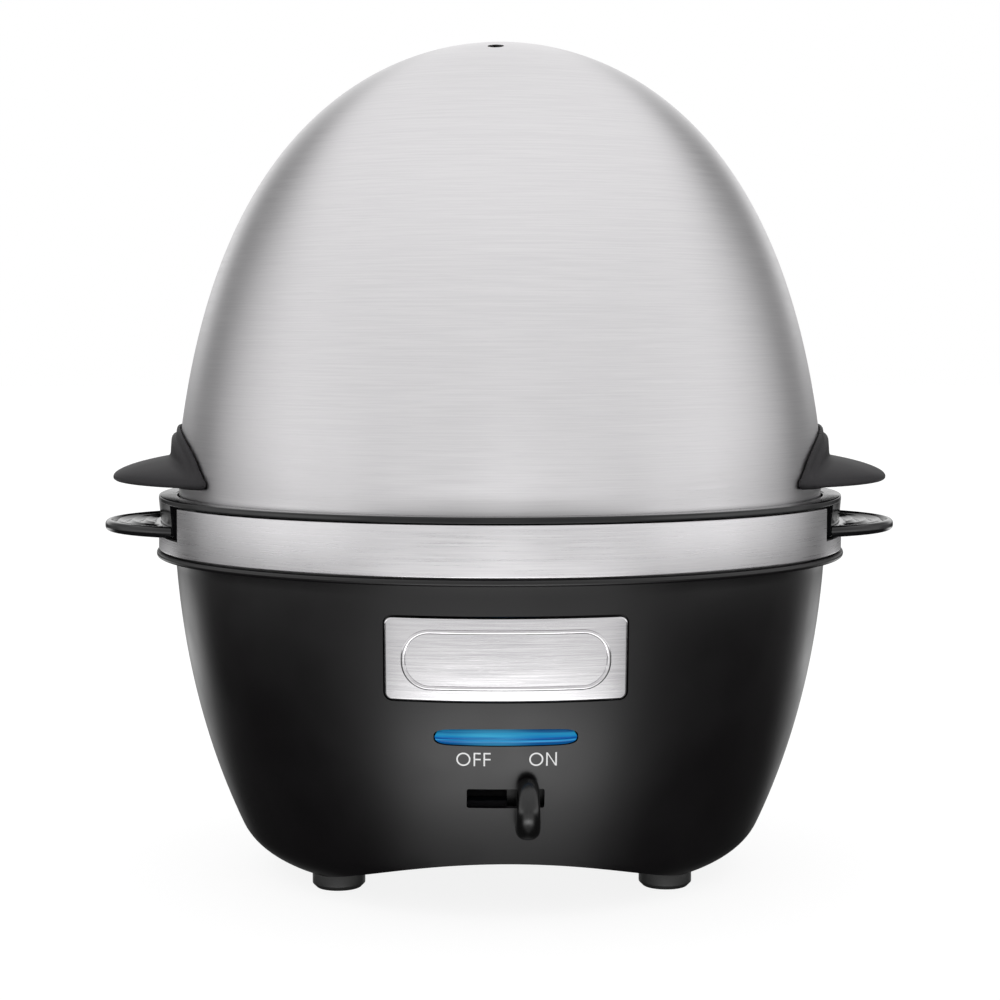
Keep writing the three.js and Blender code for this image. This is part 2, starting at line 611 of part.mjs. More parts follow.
function upperTray() {
  const { radius, low, top, rim, rimTop } = UPPER;
  const plate = turned([
    [0, low], [radius, low], [radius + rim, low + 1], [radius + rim, rimTop],
    [radius, rimTop], [radius, top], [0, top],
  ]);
  const foot = TRAY.top + GAP;
  const legs = ringAngles(UPPER_RING.count, -QUARTER).flatMap((angle) => [
    holeAt(LEG.reach, angle, LEG.radius, foot, low + 1, 12),
    holeAt(LEG.reach, angle, LEG.footRadius, foot, foot + LEG.footHeight, 16),
  ]);
  const eggHoles = ringAngles(UPPER_RING.count, QUARTER).map((angle) =>
    holeAt(UPPER_RING.reach, angle, EGG_HOLE, low - 1, top + 1));
  return cut(join(plate, ...legs), ...eggHoles);
}

// ---- lid ---------------------------------------------------------------------------------------

// The dome's outside radius: an egg curve that blends into a straight skirt.
function domeRadius(z) {
  const { radius, foot, height, rise, round } = DOME;
  const share = Math.min(Math.max((z - foot) / height, 0), 1);
  const egg = radius * (1 - share ** rise) ** (1 / round);
  const near = Math.max(SKIRT_BLEND - Math.abs(egg - SKIRT_RADIUS), 0) / SKIRT_BLEND;
  return Math.min(egg, SKIRT_RADIUS) - (near * near * SKIRT_BLEND) / 4;
}

// The outside profile from the skirt up to the crown, with closer steps towards the crown.
function domeProfile(offset, low) {
  const crown = DOME.foot + DOME.height;
  const steps = 12;
  const heights = Array.from({ length: steps }, (_, i) =>
    low + (crown - low) * Math.sin((QUARTER * i) / steps));
  const side = heights.map((z) => {
    const slope = (domeRadius(z + 0.2) - domeRadius(z - 0.2)) / 0.4;
    const length = Math.hypot(1, slope);
    return [domeRadius(z) + offset / length, z - (offset * slope) / length];
  });
  return [...side, [0, crown + offset]];
}

const domeSolid = (offset) => turned([[0, DOME_LOW - 2], ...domeProfile(offset, DOME_LOW - 2)]);

const HANDLE_SIDES = { right: 0, left: Math.PI };
const screwLine = (side, turn, from, to) => [from, to].map((reach) =>
  polar(reach, HANDLE_SIDES[side] + turn * LID_SCREW.angle, LID_SCREW.z));
const lidScrewHoles = () => Object.keys(HANDLE_SIDES).flatMap((side) =>
  [-1, 1].map((turn) => rodBetween(HOLE_RADIUS, ...screwLine(side, turn, 84, LID_SCREW.tip + 1))));

function lidDome() {
  const shell = turned([
    ...domeProfile(0, DOME_LOW),
    ...domeProfile(-DOME_SHEET, DOME_LOW).reverse(),
  ]);
  return cut(shell, rod(VENT.radius, 200, 240, VENT.x, VENT.y, 16), ...lidScrewHoles());
}

// One handle on the +X side: the saddle's half oval is drawn on the dome, and the wing is a round
// body whose height falls away towards its outer edge.
function lidHandle() {
  const { halfAngle, low, top, thick } = SADDLE;
  const halfWidth = SKIRT_RADIUS * Math.sin(halfAngle);
  const oval = new THREE.Shape();
  oval.absellipse(0, low, halfWidth, top - low, 0, Math.PI);
  const prism = throughY(oval, 70, WING.tip, 8).rotate([0, 0, -90]);
  const saddle = cut(domeSolid(GAP + thick), domeSolid(GAP)).intersect(prism);
  const slopeDistances = [0.3, 1.6, 5, 10, WING.span];
  const wing = turned([
    [0, WING.low], [WING.radius - 3, WING.low], [WING.radius - 0.8, WING.low + 0.5],
    [WING.radius, WING.low + 1.3],
    ...slopeDistances.map((inset) => [WING.radius - inset,
      SADDLE.low + WING.rise * (inset / WING.span) ** WING.power]),
    [0, SADDLE.low + WING.rise],
  ]).translate(WING.tip - WING.radius, 0, 0);
  const outerSide = box([60, WING.tip + 1], [-WING.tip, WING.tip], [low - 1, top + 1]);
  return join(saddle, cut(wing, domeSolid(GAP)).intersect(outerSide));
}

function lidScrew(side, turn) {
  const inner = domeRadius(LID_SCREW.z) - DOME_SHEET - LID_SCREW.seat;
  const headLine = screwLine(side, turn, inner - LID_SCREW.headHeight, inner);
  const shankLine = screwLine(side, turn, inner - 1, LID_SCREW.tip);
  return join(
    rodBetween(LID_SCREW.head, ...headLine),
    rodBetween(SCREW.radius, ...shankLine),
  );
}

// ---- assembly ----------------------------------------------------------------------------------

function addBase() {
  const base = new THREE.Group();
  addPiece(base, 'base_shell', baseShell(), SATIN_BLACK);
  addPiece(base, 'rim_band', rimBand(), BRUSHED_STEEL);
  addPiece(base, 'badge_plate', badgePlate(), BADGE_STEEL);
  addPiece(base, 'indicator_lens', indicatorLens(), BLUE_LENS);
  addPiece(base, 'base_cover', baseCover(), SATIN_BLACK);
  addPiece(base, 'cord_gland', cordGland(), RUBBER);
  const corners = [[-1, -1], [1, -1], [1, 1], [-1, 1]];
  corners.forEach(([sx, sy], i) =>
    addPiece(base, `foot_${i + 1}`, foot(sx * FOOT.x, sy * FOOT.y), RUBBER));
  POST_ANGLES.forEach((angle, i) => addPiece(base, `cover_screw_${i + 1}`, coverScrew(angle), ZINC));
  cooker.add(base);
}

function addHeater() {
  const heater = new THREE.Group();
  addPiece(heater, 'heating_plate', heatingPlate(), DARK_COATING);
  addPiece(heater, 'plate_gasket', plateGasket(), SILICONE);
  addPiece(heater, 'clamp_ring', clampRing(), ZINC);
  ringAngles(STUD.count, QUARTER).forEach((angle, i) =>
    addPiece(heater, `clamp_nut_${i + 1}`, clampNut(angle), ZINC));
  addPiece(heater, 'heating_element', heatingElement(), ZINC);
  addPiece(heater, 'element_pin_1', elementPin(-1), ZINC);
  addPiece(heater, 'element_pin_2', elementPin(1), ZINC);
  addPiece(heater, 'thermostat', thermostat(), CERAMIC);
  addPiece(heater, 'thermostat_clip', thermostatClip(), ZINC);
  addPiece(heater, 'thermal_fuse', thermalFuse(), CERAMIC);
  cooker.add(heater);
}

function addElectrics() {
  const electrics = new THREE.Group();
  addPiece(electrics, 'buzzer', buzzer(), GLOSS_BLACK);
  addPiece(electrics, 'terminal_block', terminalBlock(), CERAMIC);
  addPiece(electrics, 'led_board', ledBoard(), CIRCUIT_GREEN);
  addPiece(electrics, 'switch_body', switchBody(), GREY_PLASTIC);
  addPiece(electrics, 'switch_lever', switchLever(), GLOSS_BLACK);
  for (const [name, points] of Object.entries(WIRES))
    addPiece(electrics, name, tube(points, WIRE_RADIUS, 6, 9), SILICONE);
  cooker.add(electrics);
}

function addTrays() {
  const trays = new THREE.Group();
  addPiece(trays, 'egg_tray', eggTray(), GLOSS_BLACK);
  addPiece(trays, 'upper_tray', upperTray(), GLOSS_BLACK);
  cooker.add(trays);
}

function addLid() {
  const lid = new THREE.Group();
  addPiece(lid, 'lid_dome', lidDome(), BRUSHED_STEEL);
  const handle = lidHandle();
  for (const [side, turn] of Object.entries(HANDLE_SIDES)) {
    const placed = handle.rotate([0, 0, THREE.MathUtils.radToDeg(turn)]);
    addPiece(lid, `lid_handle_${side}`, cut(placed, ...lidScrewHoles()), GREY_PLASTIC);
    addPiece(lid, `lid_screw_${side}_1`, lidScrew(side, -1), ZINC);
    addPiece(lid, `lid_screw_${side}_2`, lidScrew(side, 1), ZINC);
  }
  cooker.add(lid);
}

addBase();
addHeater();
addElectrics();
addTrays();
addLid();

export default cooker;
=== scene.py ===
"""Egg cooker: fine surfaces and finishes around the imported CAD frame.

Lengths are millimetres, +Z up and the front towards -Y, as in the CAD model; form() turns them into
metres. Angles are radians. The base stands on z = 0 and its axis is x = y = 0.
"""

import math
from functools import reduce
from itertools import product

import bmesh
import bpy
import numpy as np
from mathutils import Matrix, Vector


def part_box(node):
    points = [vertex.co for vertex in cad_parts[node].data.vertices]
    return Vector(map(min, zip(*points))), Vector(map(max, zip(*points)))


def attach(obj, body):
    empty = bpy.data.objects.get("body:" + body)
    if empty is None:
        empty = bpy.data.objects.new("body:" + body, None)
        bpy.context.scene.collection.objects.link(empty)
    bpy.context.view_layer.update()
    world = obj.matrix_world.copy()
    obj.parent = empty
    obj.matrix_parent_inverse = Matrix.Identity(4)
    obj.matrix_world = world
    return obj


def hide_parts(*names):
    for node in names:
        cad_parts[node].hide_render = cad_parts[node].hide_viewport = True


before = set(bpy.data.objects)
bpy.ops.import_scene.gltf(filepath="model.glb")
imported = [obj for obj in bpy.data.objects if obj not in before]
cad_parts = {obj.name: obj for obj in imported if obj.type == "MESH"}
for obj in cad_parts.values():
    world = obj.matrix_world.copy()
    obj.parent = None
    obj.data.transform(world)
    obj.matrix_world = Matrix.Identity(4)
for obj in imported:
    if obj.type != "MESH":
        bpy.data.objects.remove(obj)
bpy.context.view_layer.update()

MM = 0.001


def node_box(node):
    """Lowest and highest corner of a CAD node, in millimetres."""
    low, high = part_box(node)
    return low / MM, high / MM


# ---- driving dimensions ----

LARGE_STEPS = 256  # round the largest turned pieces
MIDDLE_STEPS = 192  # round the dish and the upper tray

# Bowl: outside profile as two curves, and the vault cut under it.
WALL = 2.5
LIP, HEEL_CORNER, HEEL = (64.1, 5.0), (70.1, 8.1), (72.6, 13.4)
BELLY, BOWL_TOP = (87.8, 46.6), (90.4, 87.4)
ARCH_RADIUS = 117
ARCH_TOP = 15
FLANGE = {"radius": 95.6, "low": 87.7, "top": 89.3}
COLLAR = {"outer": 93.6, "inner": 92.2, "top": 100.2}
LEDGE = {"inner": 86.3, "low": 88.3, "top": 90.3}
NOTCH_FLOOR = 93.8
BAND_SHEET = 1.1
BAND_NOTCH_HALF = 41
COLLAR_NOTCH_HALF = 36

# Front of the base. "proud" is how far a face stands off the wall, and "gap" the room round it.
BADGE = {"width": 59.7, "height": 20.9, "z": 69, "corner": 1.8, "recess": 1.1, "gap": 0.45,
         "proud": 0.5}
BADGE_FRAME = {"width": 51.4, "height": 15.2, "line": 1.1, "rise": 0.4}
LENS = {"half": 17.6, "rise": 1.95, "z": 49.2, "proud": 0.6, "rib": 0.1, "depth": 3.2, "gap": 0.3}
SLOT = {"half": 9.7, "low": 30.6, "top": 35.7, "corner": 0.6}
OPENING = {"front": -95, "lens_back": -70, "slot_back": -60}
LEGEND = {"z": 43.6, "height": 3.5, "stroke": 0.38, "lift": 0.05, "off_x": -8.4, "on_x": 9.0}
PEN = LEGEND["stroke"] / LEGEND["height"]
LEVER = {"x": 5.5, "half": 3.0, "length": 17, "z": 31.5, "reach": 9.4, "cell": 0.33}
STEM = {"half": 2.2, "half_height": 1.75, "tail": -65.5}
GUIDE = {"half": 5, "half_height": 4, "front": -71.6, "back": -70.2}

# Feet, and the rear boss for the cord's gland.
FOOT = {"height": 4.3, "stud": 2.5}
GLAND = {"z": 26, "boss": 8.6, "root": 74, "face": 81.6, "hole": 5, "bore": 3.4, "flange": 7,
         "inside": 67}

# Heating dish: its floor, its wall inside and outside, and its studs.
DISH = {"floor": 80.0, "floor_sheet": 1.5, "rim_sheet": 1.2, "inner_foot": 76.9, "inner_rim": 79.4,
        "outer_foot": 77.5, "outer_rim": 80.6}
DISH_RING = {"inner": 25, "outer": 30, "slope": 1, "depth": 0.5}
STUD = {"reach": 83.6, "radius": 1.6}

# Lower tray with its grips, and upper tray.
EGG_HOLE = 19
LOWER_TRAY = {"low": 98.3, "top": 100.3, "skirt": 88, "skirt_low": 95.6, "wall": 91.8,
              "rim": 94.9, "rim_low": 102.9, "rim_top": 104.5, "inner": 89.9}
LOWER_REACH = 57
STEAM = {"reach": 33, "radius": 2.6}
UPPER_TRAY = {"low": 158, "top": 160.2, "rim": 2}
UPPER_REACH = 31
LEG = {"reach": 47, "radius": 3.2, "foot": 5, "foot_height": 2, "neck": 155, "head": 158.6}
GRIP = {"radius": 37.3, "low": 94.2, "top": 97.2, "border": 1.5, "panel": 1.0, "pitch": 3.7,
        "edge": 1.3, "under_edge": 1.2}
RISER = {"half": 34.4, "line": 94.5, "inner": 90.2, "outer": 94.9, "foot": 94.1, "lip": 91.9,
         "shoulder": 102.2, "top": 103.4}

# Lid: an egg curve over a straight skirt, with a half-oval saddle and a crescent wing on each side.
DOME = {"radius": 93.67, "foot": -39.5, "height": 268.35, "rise": 4.478, "round": 1.986}
SKIRT_RADIUS = 89.4
SKIRT_BLEND = 1.5
DOME_SHEET = 0.8
VENT = {"radius": 2.2, "x": -1.5, "y": -21, "rim": 0.15, "flare": 2.5}
SADDLE = {"half_angle": 0.505, "low": 108, "top": 123.5, "gap": 0.3, "plate": 1.3, "crown": 2.5}
WING = {"radius": 49.1, "low": 107.8, "rise": 6.8, "span": 16.2, "power": 0.42, "cell": 0.45}

# ---- camera, light and floor ----

CAMERA = {"distance": 650.2, "height": 148.35, "tilt": math.radians(4.08),
          "turn": math.radians(1.0), "lens": 83.44, "sensor": 36}
FLOOR_HALF = 6000


def make_camera():
    data = bpy.data.cameras.new("camera")
    data.lens, data.sensor_width = CAMERA["lens"], CAMERA["sensor"]
    data.clip_start, data.clip_end = 0.01, 100
    camera = bpy.data.objects.new("camera", data)
    turn, distance = CAMERA["turn"], CAMERA["distance"]
    place = (-distance * math.sin(turn), -distance * math.cos(turn), CAMERA["height"])
    camera.location = Vector(place) * MM
    camera.rotation_euler = (math.pi / 2 - CAMERA["tilt"], 0, -turn)
    bpy.context.scene.collection.objects.link(camera)
    bpy.context.scene.camera = camera


class Graph:
    """A node tree with short calls for the nodes that the finishes and the light use."""

    def __init__(self, tree):
        self.tree = tree

    def add(self, kind, **settings):
        node = self.tree.nodes.new(kind)
        for name, value in settings.items():
            setattr(node, name, value)
        return node

    def put(self, socket, value):
        if isinstance(value, bpy.types.NodeSocket):
            self.tree.links.new(value, socket)
        else:
            socket.default_value = value

    def math(self, operation, *values):
        node = self.add("ShaderNodeMath", operation=operation)
        for socket, value in zip(node.inputs, values):
            self.put(socket, value)
        return node.outputs[0]

    def feed(self, node, **values):
        for name, value in values.items():
            self.put(node.inputs[name.replace("_", " ")], value)
        return node.outputs[0]

    def times(self, *values):
        return reduce(lambda a, b: self.math("MULTIPLY", a, b), values)

    def plus(self, *values):
        return reduce(lambda a, b: self.math("ADD", a, b), values)

    def minus(self, value, less):
        return self.math("SUBTRACT", value, less)

    def spread(self, value, low, high, to_low=0.0, to_high=1.0):
        """value eased from low..high to to_low..to_high, and held beyond them."""
        node = self.add("ShaderNodeMapRange", interpolation_type="SMOOTHSTEP")
        return self.feed(node, Value=value, From_Min=low, From_Max=high,
                         To_Min=to_low, To_Max=to_high)

    def colours(self, value, stops, interpolation="LINEAR"):
        """The colour at value on a ramp through (position, colour) stops."""
        node = self.add("ShaderNodeValToRGB")
        ramp = node.color_ramp
        ramp.interpolation = interpolation
        while len(ramp.elements) < len(stops):
            ramp.elements.new(0.5)
        for element, (position, colour) in zip(ramp.elements, stops):
            element.position = position
            element.color = (*colour, 1)
        self.put(node.inputs[0], value)
        return node.outputs[0]

    def levels(self, value, stops, most=6.0):
        """A smooth curve through (position, level) stops, with no level over most."""
        greys = [(position, [level / most] * 3) for position, level in stops]
        return self.times(self.colours(value, greys, "EASE"), most)

    def object_place(self, stretch=(1, 1, 1)):
        place = self.add("ShaderNodeTexCoord")
        mapping = self.add("ShaderNodeMapping")
        self.put(mapping.inputs["Vector"], place.outputs["Object"])
        mapping.inputs["Scale"].default_value = stretch
        return mapping.outputs[0]

    def noise(self, scale, stretch=(1, 1, 1), detail=3.0, roughness=0.5):
        """Noise with features of about 1 / (scale * stretch) metres."""
        node = self.add("ShaderNodeTexNoise")
        place = self.object_place(stretch)
        return self.feed(node, Vector=place, Scale=scale, Detail=detail, Roughness=roughness)

    def mix(self, factor, first, second):
        node = self.add("ShaderNodeMix", data_type="RGBA")
        self.put(node.inputs["Factor"], factor)
        for name, colour in (("A", first), ("B", second)):
            self.put(node.inputs[name], (*colour, 1) if isinstance(colour, tuple) else colour)
        return node.outputs["Result"]

    def bump(self, height, distance, strength):
        """Relief of this many millimetres."""
        node = self.add("ShaderNodeBump")
        return self.feed(node, Height=height, Distance=distance * MM, Strength=strength)


def make_light():
    """Soft studio light from all round, set by its height z and by its turn from the front, where
    turn is 0, to the rear, where it is 1. The camera sees plain white behind the object."""
    world = bpy.data.worlds.new("studio")
    bpy.context.scene.world = world
    world.use_nodes = True
    graph = Graph(world.node_tree)
    direction = graph.add("ShaderNodeTexCoord").outputs["Generated"]
    split = graph.add("ShaderNodeSeparateXYZ")
    graph.put(split.inputs[0], direction)
    x, y, z = split.outputs
    turn = graph.math("ARCTAN2", x, graph.times(y, -1.0))
    turn = graph.math("DIVIDE", graph.math("ABSOLUTE", turn), math.pi)

    # Above: white, with a dark rear quarter on each side and a softer dark edge behind it.
    dim = graph.levels(turn, [(0, 0.2), (0.3, 0.14), (0.5, 0.06), (0.58, 0.2), (0.66, 0.5),
                              (0.71, 0.76), (0.77, 0.74), (0.83, 0.28), (0.88, 0.02), (1, 0)])
    dim = graph.times(dim, graph.spread(z, 0.7, 0.46))
    edge = graph.levels(turn, [(0.75, 0), (0.82, 0.42), (0.88, 0.36), (0.95, 0)])
    edge = graph.times(edge, graph.spread(z, 0.12, 0.34), graph.spread(z, 0.68, 0.5))
    white = graph.levels(z, [(0, 1.06), (0.3, 1.12), (0.6, 1.12), (0.9, 1.16)])
    above = graph.minus(white, graph.plus(dim, edge))

    # Level with the object: bright panels at the sides, and dark behind them.
    level = graph.levels(turn, [(0, 1.12), (0.09, 0.64), (0.2, 0.92), (0.33, 2.0), (0.42, 2.1),
                                (0.52, 1.4), (0.6, 0.85), (0.7, 0.25), (0.86, 0.05),
                                (0.93, 0.3), (1, 0.5)])

    # Below: pale in front and nearly black from the sides on, with a bright card low in front and
    # a rim light at the rear quarters.
    below = graph.levels(turn, [(0, 0.9), (0.1, 0.95), (0.2, 0.95), (0.3, 0.3), (0.42, 0.02),
                                (0.85, 0.02), (1, 0.16)])
    below = graph.times(below, graph.spread(z, -0.98, -0.5, 0.35, 1.0))
    card = graph.levels(turn, [(0, 5.4), (0.1, 4.7), (0.2, 2.6), (0.3, 0.3), (0.4, 0.0)])
    card_height = graph.times(graph.spread(z, -0.84, -0.56), graph.spread(z, -0.44, -0.66))
    rim = graph.levels(turn, [(0.72, 0.0), (0.82, 1.7), (0.87, 1.6), (0.94, 0.2), (1, 0.04)])
    rim = graph.times(rim, graph.spread(z, -0.36, -0.12))
    lower = graph.plus(below, graph.times(card, card_height), rim)

    lower_share = graph.spread(z, -0.09, -0.18)
    upper_share = graph.spread(z, -0.05, 0.12)
    middle = graph.times(level, graph.minus(1.0, lower_share), graph.minus(1.0, upper_share))
    total = graph.plus(middle, graph.times(lower, lower_share), graph.times(above, upper_share))
    seen = graph.add("ShaderNodeLightPath").outputs["Is Camera Ray"]
    background = world.node_tree.nodes["Background"].inputs
    graph.put(background["Color"], (1, 1, 1, 1))
    graph.put(background["Strength"], graph.plus(graph.times(total, graph.minus(1.0, seen)), seen))


def make_floor():
    """A plain pale floor that only the camera sees. It takes the soft shadow, and the object's
    reflections come from the light alone."""
    half = FLOOR_HALF
    corners = [(-half, -half, 0), (half, -half, 0), (half, half, 0), (-half, half, 0)]
    floor = form("floor", corners, [(0, 1, 2, 3)])
    pale, graph, inputs = finish_of("pale_floor", Roughness=0.9, Specular_IOR_Level=0.1,
                                    Emission_Strength=0.87)
    graph.put(inputs["Base Color"], (0.17, 0.17, 0.17, 1))
    graph.put(inputs["Emission Color"], (1, 1, 1, 1))
    floor.data.materials.append(pale)
    floor.visible_glossy = floor.visible_diffuse = floor.visible_shadow = False


# ---- forms ----


def form(name, vertices, faces):
    """An object of these millimetre vertices, welded, with its faces pointing out."""
    mesh = bpy.data.meshes.new(name)
    mesh.from_pydata([Vector(v) * MM for v in vertices], [], faces)
    weld(mesh)
    made = bpy.data.objects.new(name, mesh)
    bpy.context.scene.collection.objects.link(made)
    return made


def weld(mesh):
    """Welds the vertices that meet, drops loose ones and points the faces out."""
    reach = 1e-6
    work = bmesh.new()
    work.from_mesh(mesh)
    bmesh.ops.remove_doubles(work, verts=work.verts, dist=reach)
    bmesh.ops.dissolve_degenerate(work, edges=work.edges, dist=reach)
    loose = [v for v in work.verts if not v.link_faces]
    bmesh.ops.delete(work, geom=loose, context="VERTS")
    bmesh.ops.recalc_face_normals(work, faces=work.faces)
    work.to_mesh(mesh)
    work.free()


def bake(thing):
    """Applies the modifiers."""
    graph = bpy.context.evaluated_depsgraph_get()
    mesh = bpy.data.meshes.new_from_object(thing.evaluated_get(graph))
    thing.modifiers.clear()
    thing.data = mesh


def combine(thing, operation, others):
    """Applies a boolean with each of the others and removes them."""
    for other in others:
        modifier = thing.modifiers.new("combine", "BOOLEAN")
        modifier.operation = operation
        modifier.solver = "EXACT"
        modifier.object = other
    bake(thing)
    for other in others:
        bpy.data.objects.remove(other)
    weld(thing.data)
    return thing


def cut(thing, *others):
    return combine(thing, "DIFFERENCE", others)


def join(thing, *others):
    return combine(thing, "UNION", others)


def gather(thing, *others):
    """Puts closed forms that touch or stand apart into one mesh."""
    work = bmesh.new()
    for part in (thing, *others):
        work.from_mesh(part.data)
    work.to_mesh(thing.data)
    work.free()
    for other in others:
        bpy.data.objects.remove(other)
    return thing


def curve(start, corner, end, steps):
    """A quadratic curve's points after its start."""
    points = []
    for i in range(1, steps + 1):
        t = i / steps
        points.append(tuple((1 - t) ** 2 * a + 2 * t * (1 - t) * b + t * t * c
                            for a, b, c in zip(start, corner, end)))
    return points


def filleted(corners, steps=4):
    """The closed outline through (u, v, radius) corners, each rounded to its radius."""
    outline = []
    for i, (u, v, radius) in enumerate(corners):
        here = Vector((u, v))
        back = Vector(corners[i - 1][:2]) - here
        ahead = Vector(corners[(i + 1) % len(corners)][:2]) - here
        angle = back.angle(ahead, math.pi) if radius else math.pi
        if not radius or angle > math.pi - 0.02:
            outline.append((u, v))
            continue
        reach = min(radius / math.tan(angle / 2), back.length * 0.48, ahead.length * 0.48)
        first, last = here + back.normalized() * reach, here + ahead.normalized() * reach
        outline.append(tuple(first))
        outline += curve(tuple(first), (u, v), tuple(last), steps)
    return outline


def ring_faces(rings, count, closed_rings=True, closed_round=True):
    """Quads between rings of count vertices each."""
    faces = []
    for i in range(rings if closed_rings else rings - 1):
        for j in range(count if closed_round else count - 1):
            a, b = i * count, ((i + 1) % rings) * count
            k = (j + 1) % count
            faces.append((a + j, a + k, b + k, b + j))
    return faces


def turned(name, profile, steps, span=None):
    """A closed (radius, height) profile turned about Z, all round or from one angle to another."""
    start, end = span or (0, 2 * math.pi)
    count = steps if span is None else steps + 1
    angles = [start + (end - start) * i / steps for i in range(count)]
    vertices = [(r * math.cos(a), r * math.sin(a), z) for r, z in profile for a in angles]
    faces = ring_faces(len(profile), count, closed_round=span is None)
    if span is not None:
        faces += [tuple(i * count + last for i in range(len(profile))) for last in (0, steps)]
    return form(name, vertices, faces)


def skin(name, loops, closed_rings=False, caps=()):
    """A surface over loops of equally many points. caps are the loops that a face closes."""
    count = len(loops[0])
    faces = ring_faces(len(loops), count, closed_rings)
    faces += [tuple(range(i * count, (i + 1) * count)) for i in caps]
    return form(name, [p for loop in loops for p in loop], faces)


def moved(made, x, y):
    made.data.transform(Matrix.Translation(Vector((x, y, 0)) * MM))
    return made


def rod(name, radius, low, top, x=0, y=0, steps=64, flare=0.0):
    """An upright rod, with both ends flared out by the same amount."""
    profile = [(0, low), (radius + flare, low), (radius, low + flare), (radius, top - flare),
               (radius + flare, top), (0, top)]
    return moved(turned(name, profile, steps), x, y)


def block(name, low, high):
    vertices = list(product(*zip(low, high)))
    faces = [(0, 1, 3, 2), (4, 6, 7, 5), (0, 4, 5, 1), (2, 3, 7, 6), (0, 2, 6, 4), (1, 5, 7, 3)]
    return form(name, vertices, faces)


def prism(name, outline, near, far):
    """An outline in x and z pushed through from y = near to y = far."""
    return skin(name, [[(x, y, z) for x, z in outline] for y in (near, far)], caps=(0, 1))


def rearwards(made):
    """Turns an upright form so that its height runs along +Y, at the gland's height."""
    lift = Matrix.Translation((0, 0, GLAND["z"] * MM))
    made.data.transform(lift @ Matrix.Rotation(-math.pi / 2, 4, "X"))
    return made


# ---- moulded forms from fields ----


def soft_min(a, b, reach):
    """The smaller value, rounded over where the two are closer than reach."""
    near = np.maximum(reach - np.abs(a - b), 0) / reach
    return np.minimum(a, b) - near * near * reach / 4


def soft_max(a, b, reach):
    return -soft_min(-a, -b, reach)


def moulded(name, field, low, high, step):
    """The surface where field(x, y, z) is 0, negative inside: one vertex in each cell that the
    surface crosses, moved on to the surface."""
    axes = [np.arange(a, b + step, step) for a, b in zip(low, high)]
    inside = field(*np.meshgrid(*axes, indexing="ij")) < 0
    size = [n - 1 for n in inside.shape]
    count = sum(inside[i:i + size[0], j:j + size[1], k:k + size[2]].astype(int)
                for i, j, k in product((0, 1), repeat=3))
    crossed = (count > 0) & (count < 8)
    index = np.full(crossed.shape, -1)
    index[crossed] = np.arange(crossed.sum())
    points = np.array(low) + (np.argwhere(crossed) + 0.5) * step
    probe = step * 0.05
    for _ in range(8):
        value = field(*points.T)
        slope = np.stack([(field(*(points + d).T) - field(*(points - d).T)) / (2 * probe)
                          for d in np.eye(3) * probe], axis=1)
        move = slope * (value / np.maximum((slope ** 2).sum(1), 0.05))[:, None]
        points -= np.clip(move, -step / 2, step / 2)
    # A face for each grid edge with one end inside, over the four cells round that edge.
    faces = []
    for axis in range(3):
        u, v = [a for a in range(3) if a != axis]
        for cell in np.argwhere(inside != np.roll(inside, -1, axis)):
            if min(cell[u], cell[v]) < 1 or any(cell[a] >= size[a] for a in range(3)):
                continue
            around = []
            for du, dv in ((-1, -1), (0, -1), (0, 0), (-1, 0)):
                at = cell.copy()
                at[u] += du
                at[v] += dv
                around.append(int(index[tuple(at)]))
            faces.append(tuple(around))
    return form(name, [tuple(p) for p in points], faces)


# ---- finishes ----


def finish_of(name, metallic=0.0, **constants):
    """A new material and its graph; the constants are set on the shader's own sockets."""
    made = bpy.data.materials.new(name)
    made.use_nodes = True
    shader = made.node_tree.nodes["Principled BSDF"]
    shader.inputs["Metallic"].default_value = metallic
    for socket, value in constants.items():
        shader.inputs[socket.replace("_", " ")].default_value = value
    return made, Graph(made.node_tree), shader.inputs


def plastic(name, dark, light, roughness, grain=0.012, **constants):
    """Moulded plastic: slight colour and gloss variation over a fine moulded grain."""
    made, graph, inputs = finish_of(name, **constants)
    clouds = graph.noise(45, detail=2.0)
    fine = graph.noise(2600, detail=2.0)
    graph.put(inputs["Base Color"], graph.mix(graph.times(clouds, fine), dark, light))
    graph.put(inputs["Roughness"],
              graph.spread(clouds, 0.3, 0.7, roughness - 0.03, roughness + 0.03))
    graph.put(inputs["Normal"], graph.bump(fine, grain, 0.5))
    return made


def brushed(name, dark, light, roughness, stretch, scratch, anisotropic=0.0):
    """Brushed steel: long fine streaks with a few short scratches, in colour, gloss and relief."""
    made, graph, inputs = finish_of(name, metallic=1.0, Anisotropic=anisotropic,
                                    Anisotropic_Rotation=0.25)
    streaks = graph.noise(1, stretch, detail=4.0, roughness=0.65)
    marks = graph.noise(1, scratch, detail=1.0)
    rare = graph.spread(marks, 0.66, 0.78)
    shade = graph.minus(graph.spread(streaks, 0.25, 0.75), graph.times(rare, 0.5))
    graph.put(inputs["Base Color"], graph.mix(shade, dark, light))
    graph.put(inputs["Roughness"],
              graph.spread(streaks, 0.2, 0.8, roughness - 0.05, roughness + 0.05))
    graph.put(inputs["Normal"], graph.bump(graph.plus(streaks, rare), 0.006, 0.6))
    if anisotropic:
        tangent = graph.add("ShaderNodeTangent", direction_type="RADIAL", axis="Z")
        graph.put(inputs["Tangent"], tangent.outputs[0])
    return made


def metal(name, dark, light, roughness):
    """Plated or pressed metal with faint clouds and fine pitting."""
    made, graph, inputs = finish_of(name, metallic=1.0)
    clouds = graph.noise(160, detail=4.0)
    graph.put(inputs["Base Color"], graph.mix(clouds, dark, light))
    graph.put(inputs["Roughness"],
              graph.spread(clouds, 0.3, 0.7, roughness - 0.06, roughness + 0.06))
    graph.put(inputs["Normal"], graph.bump(graph.noise(1800), 0.01, 0.4))
    return made


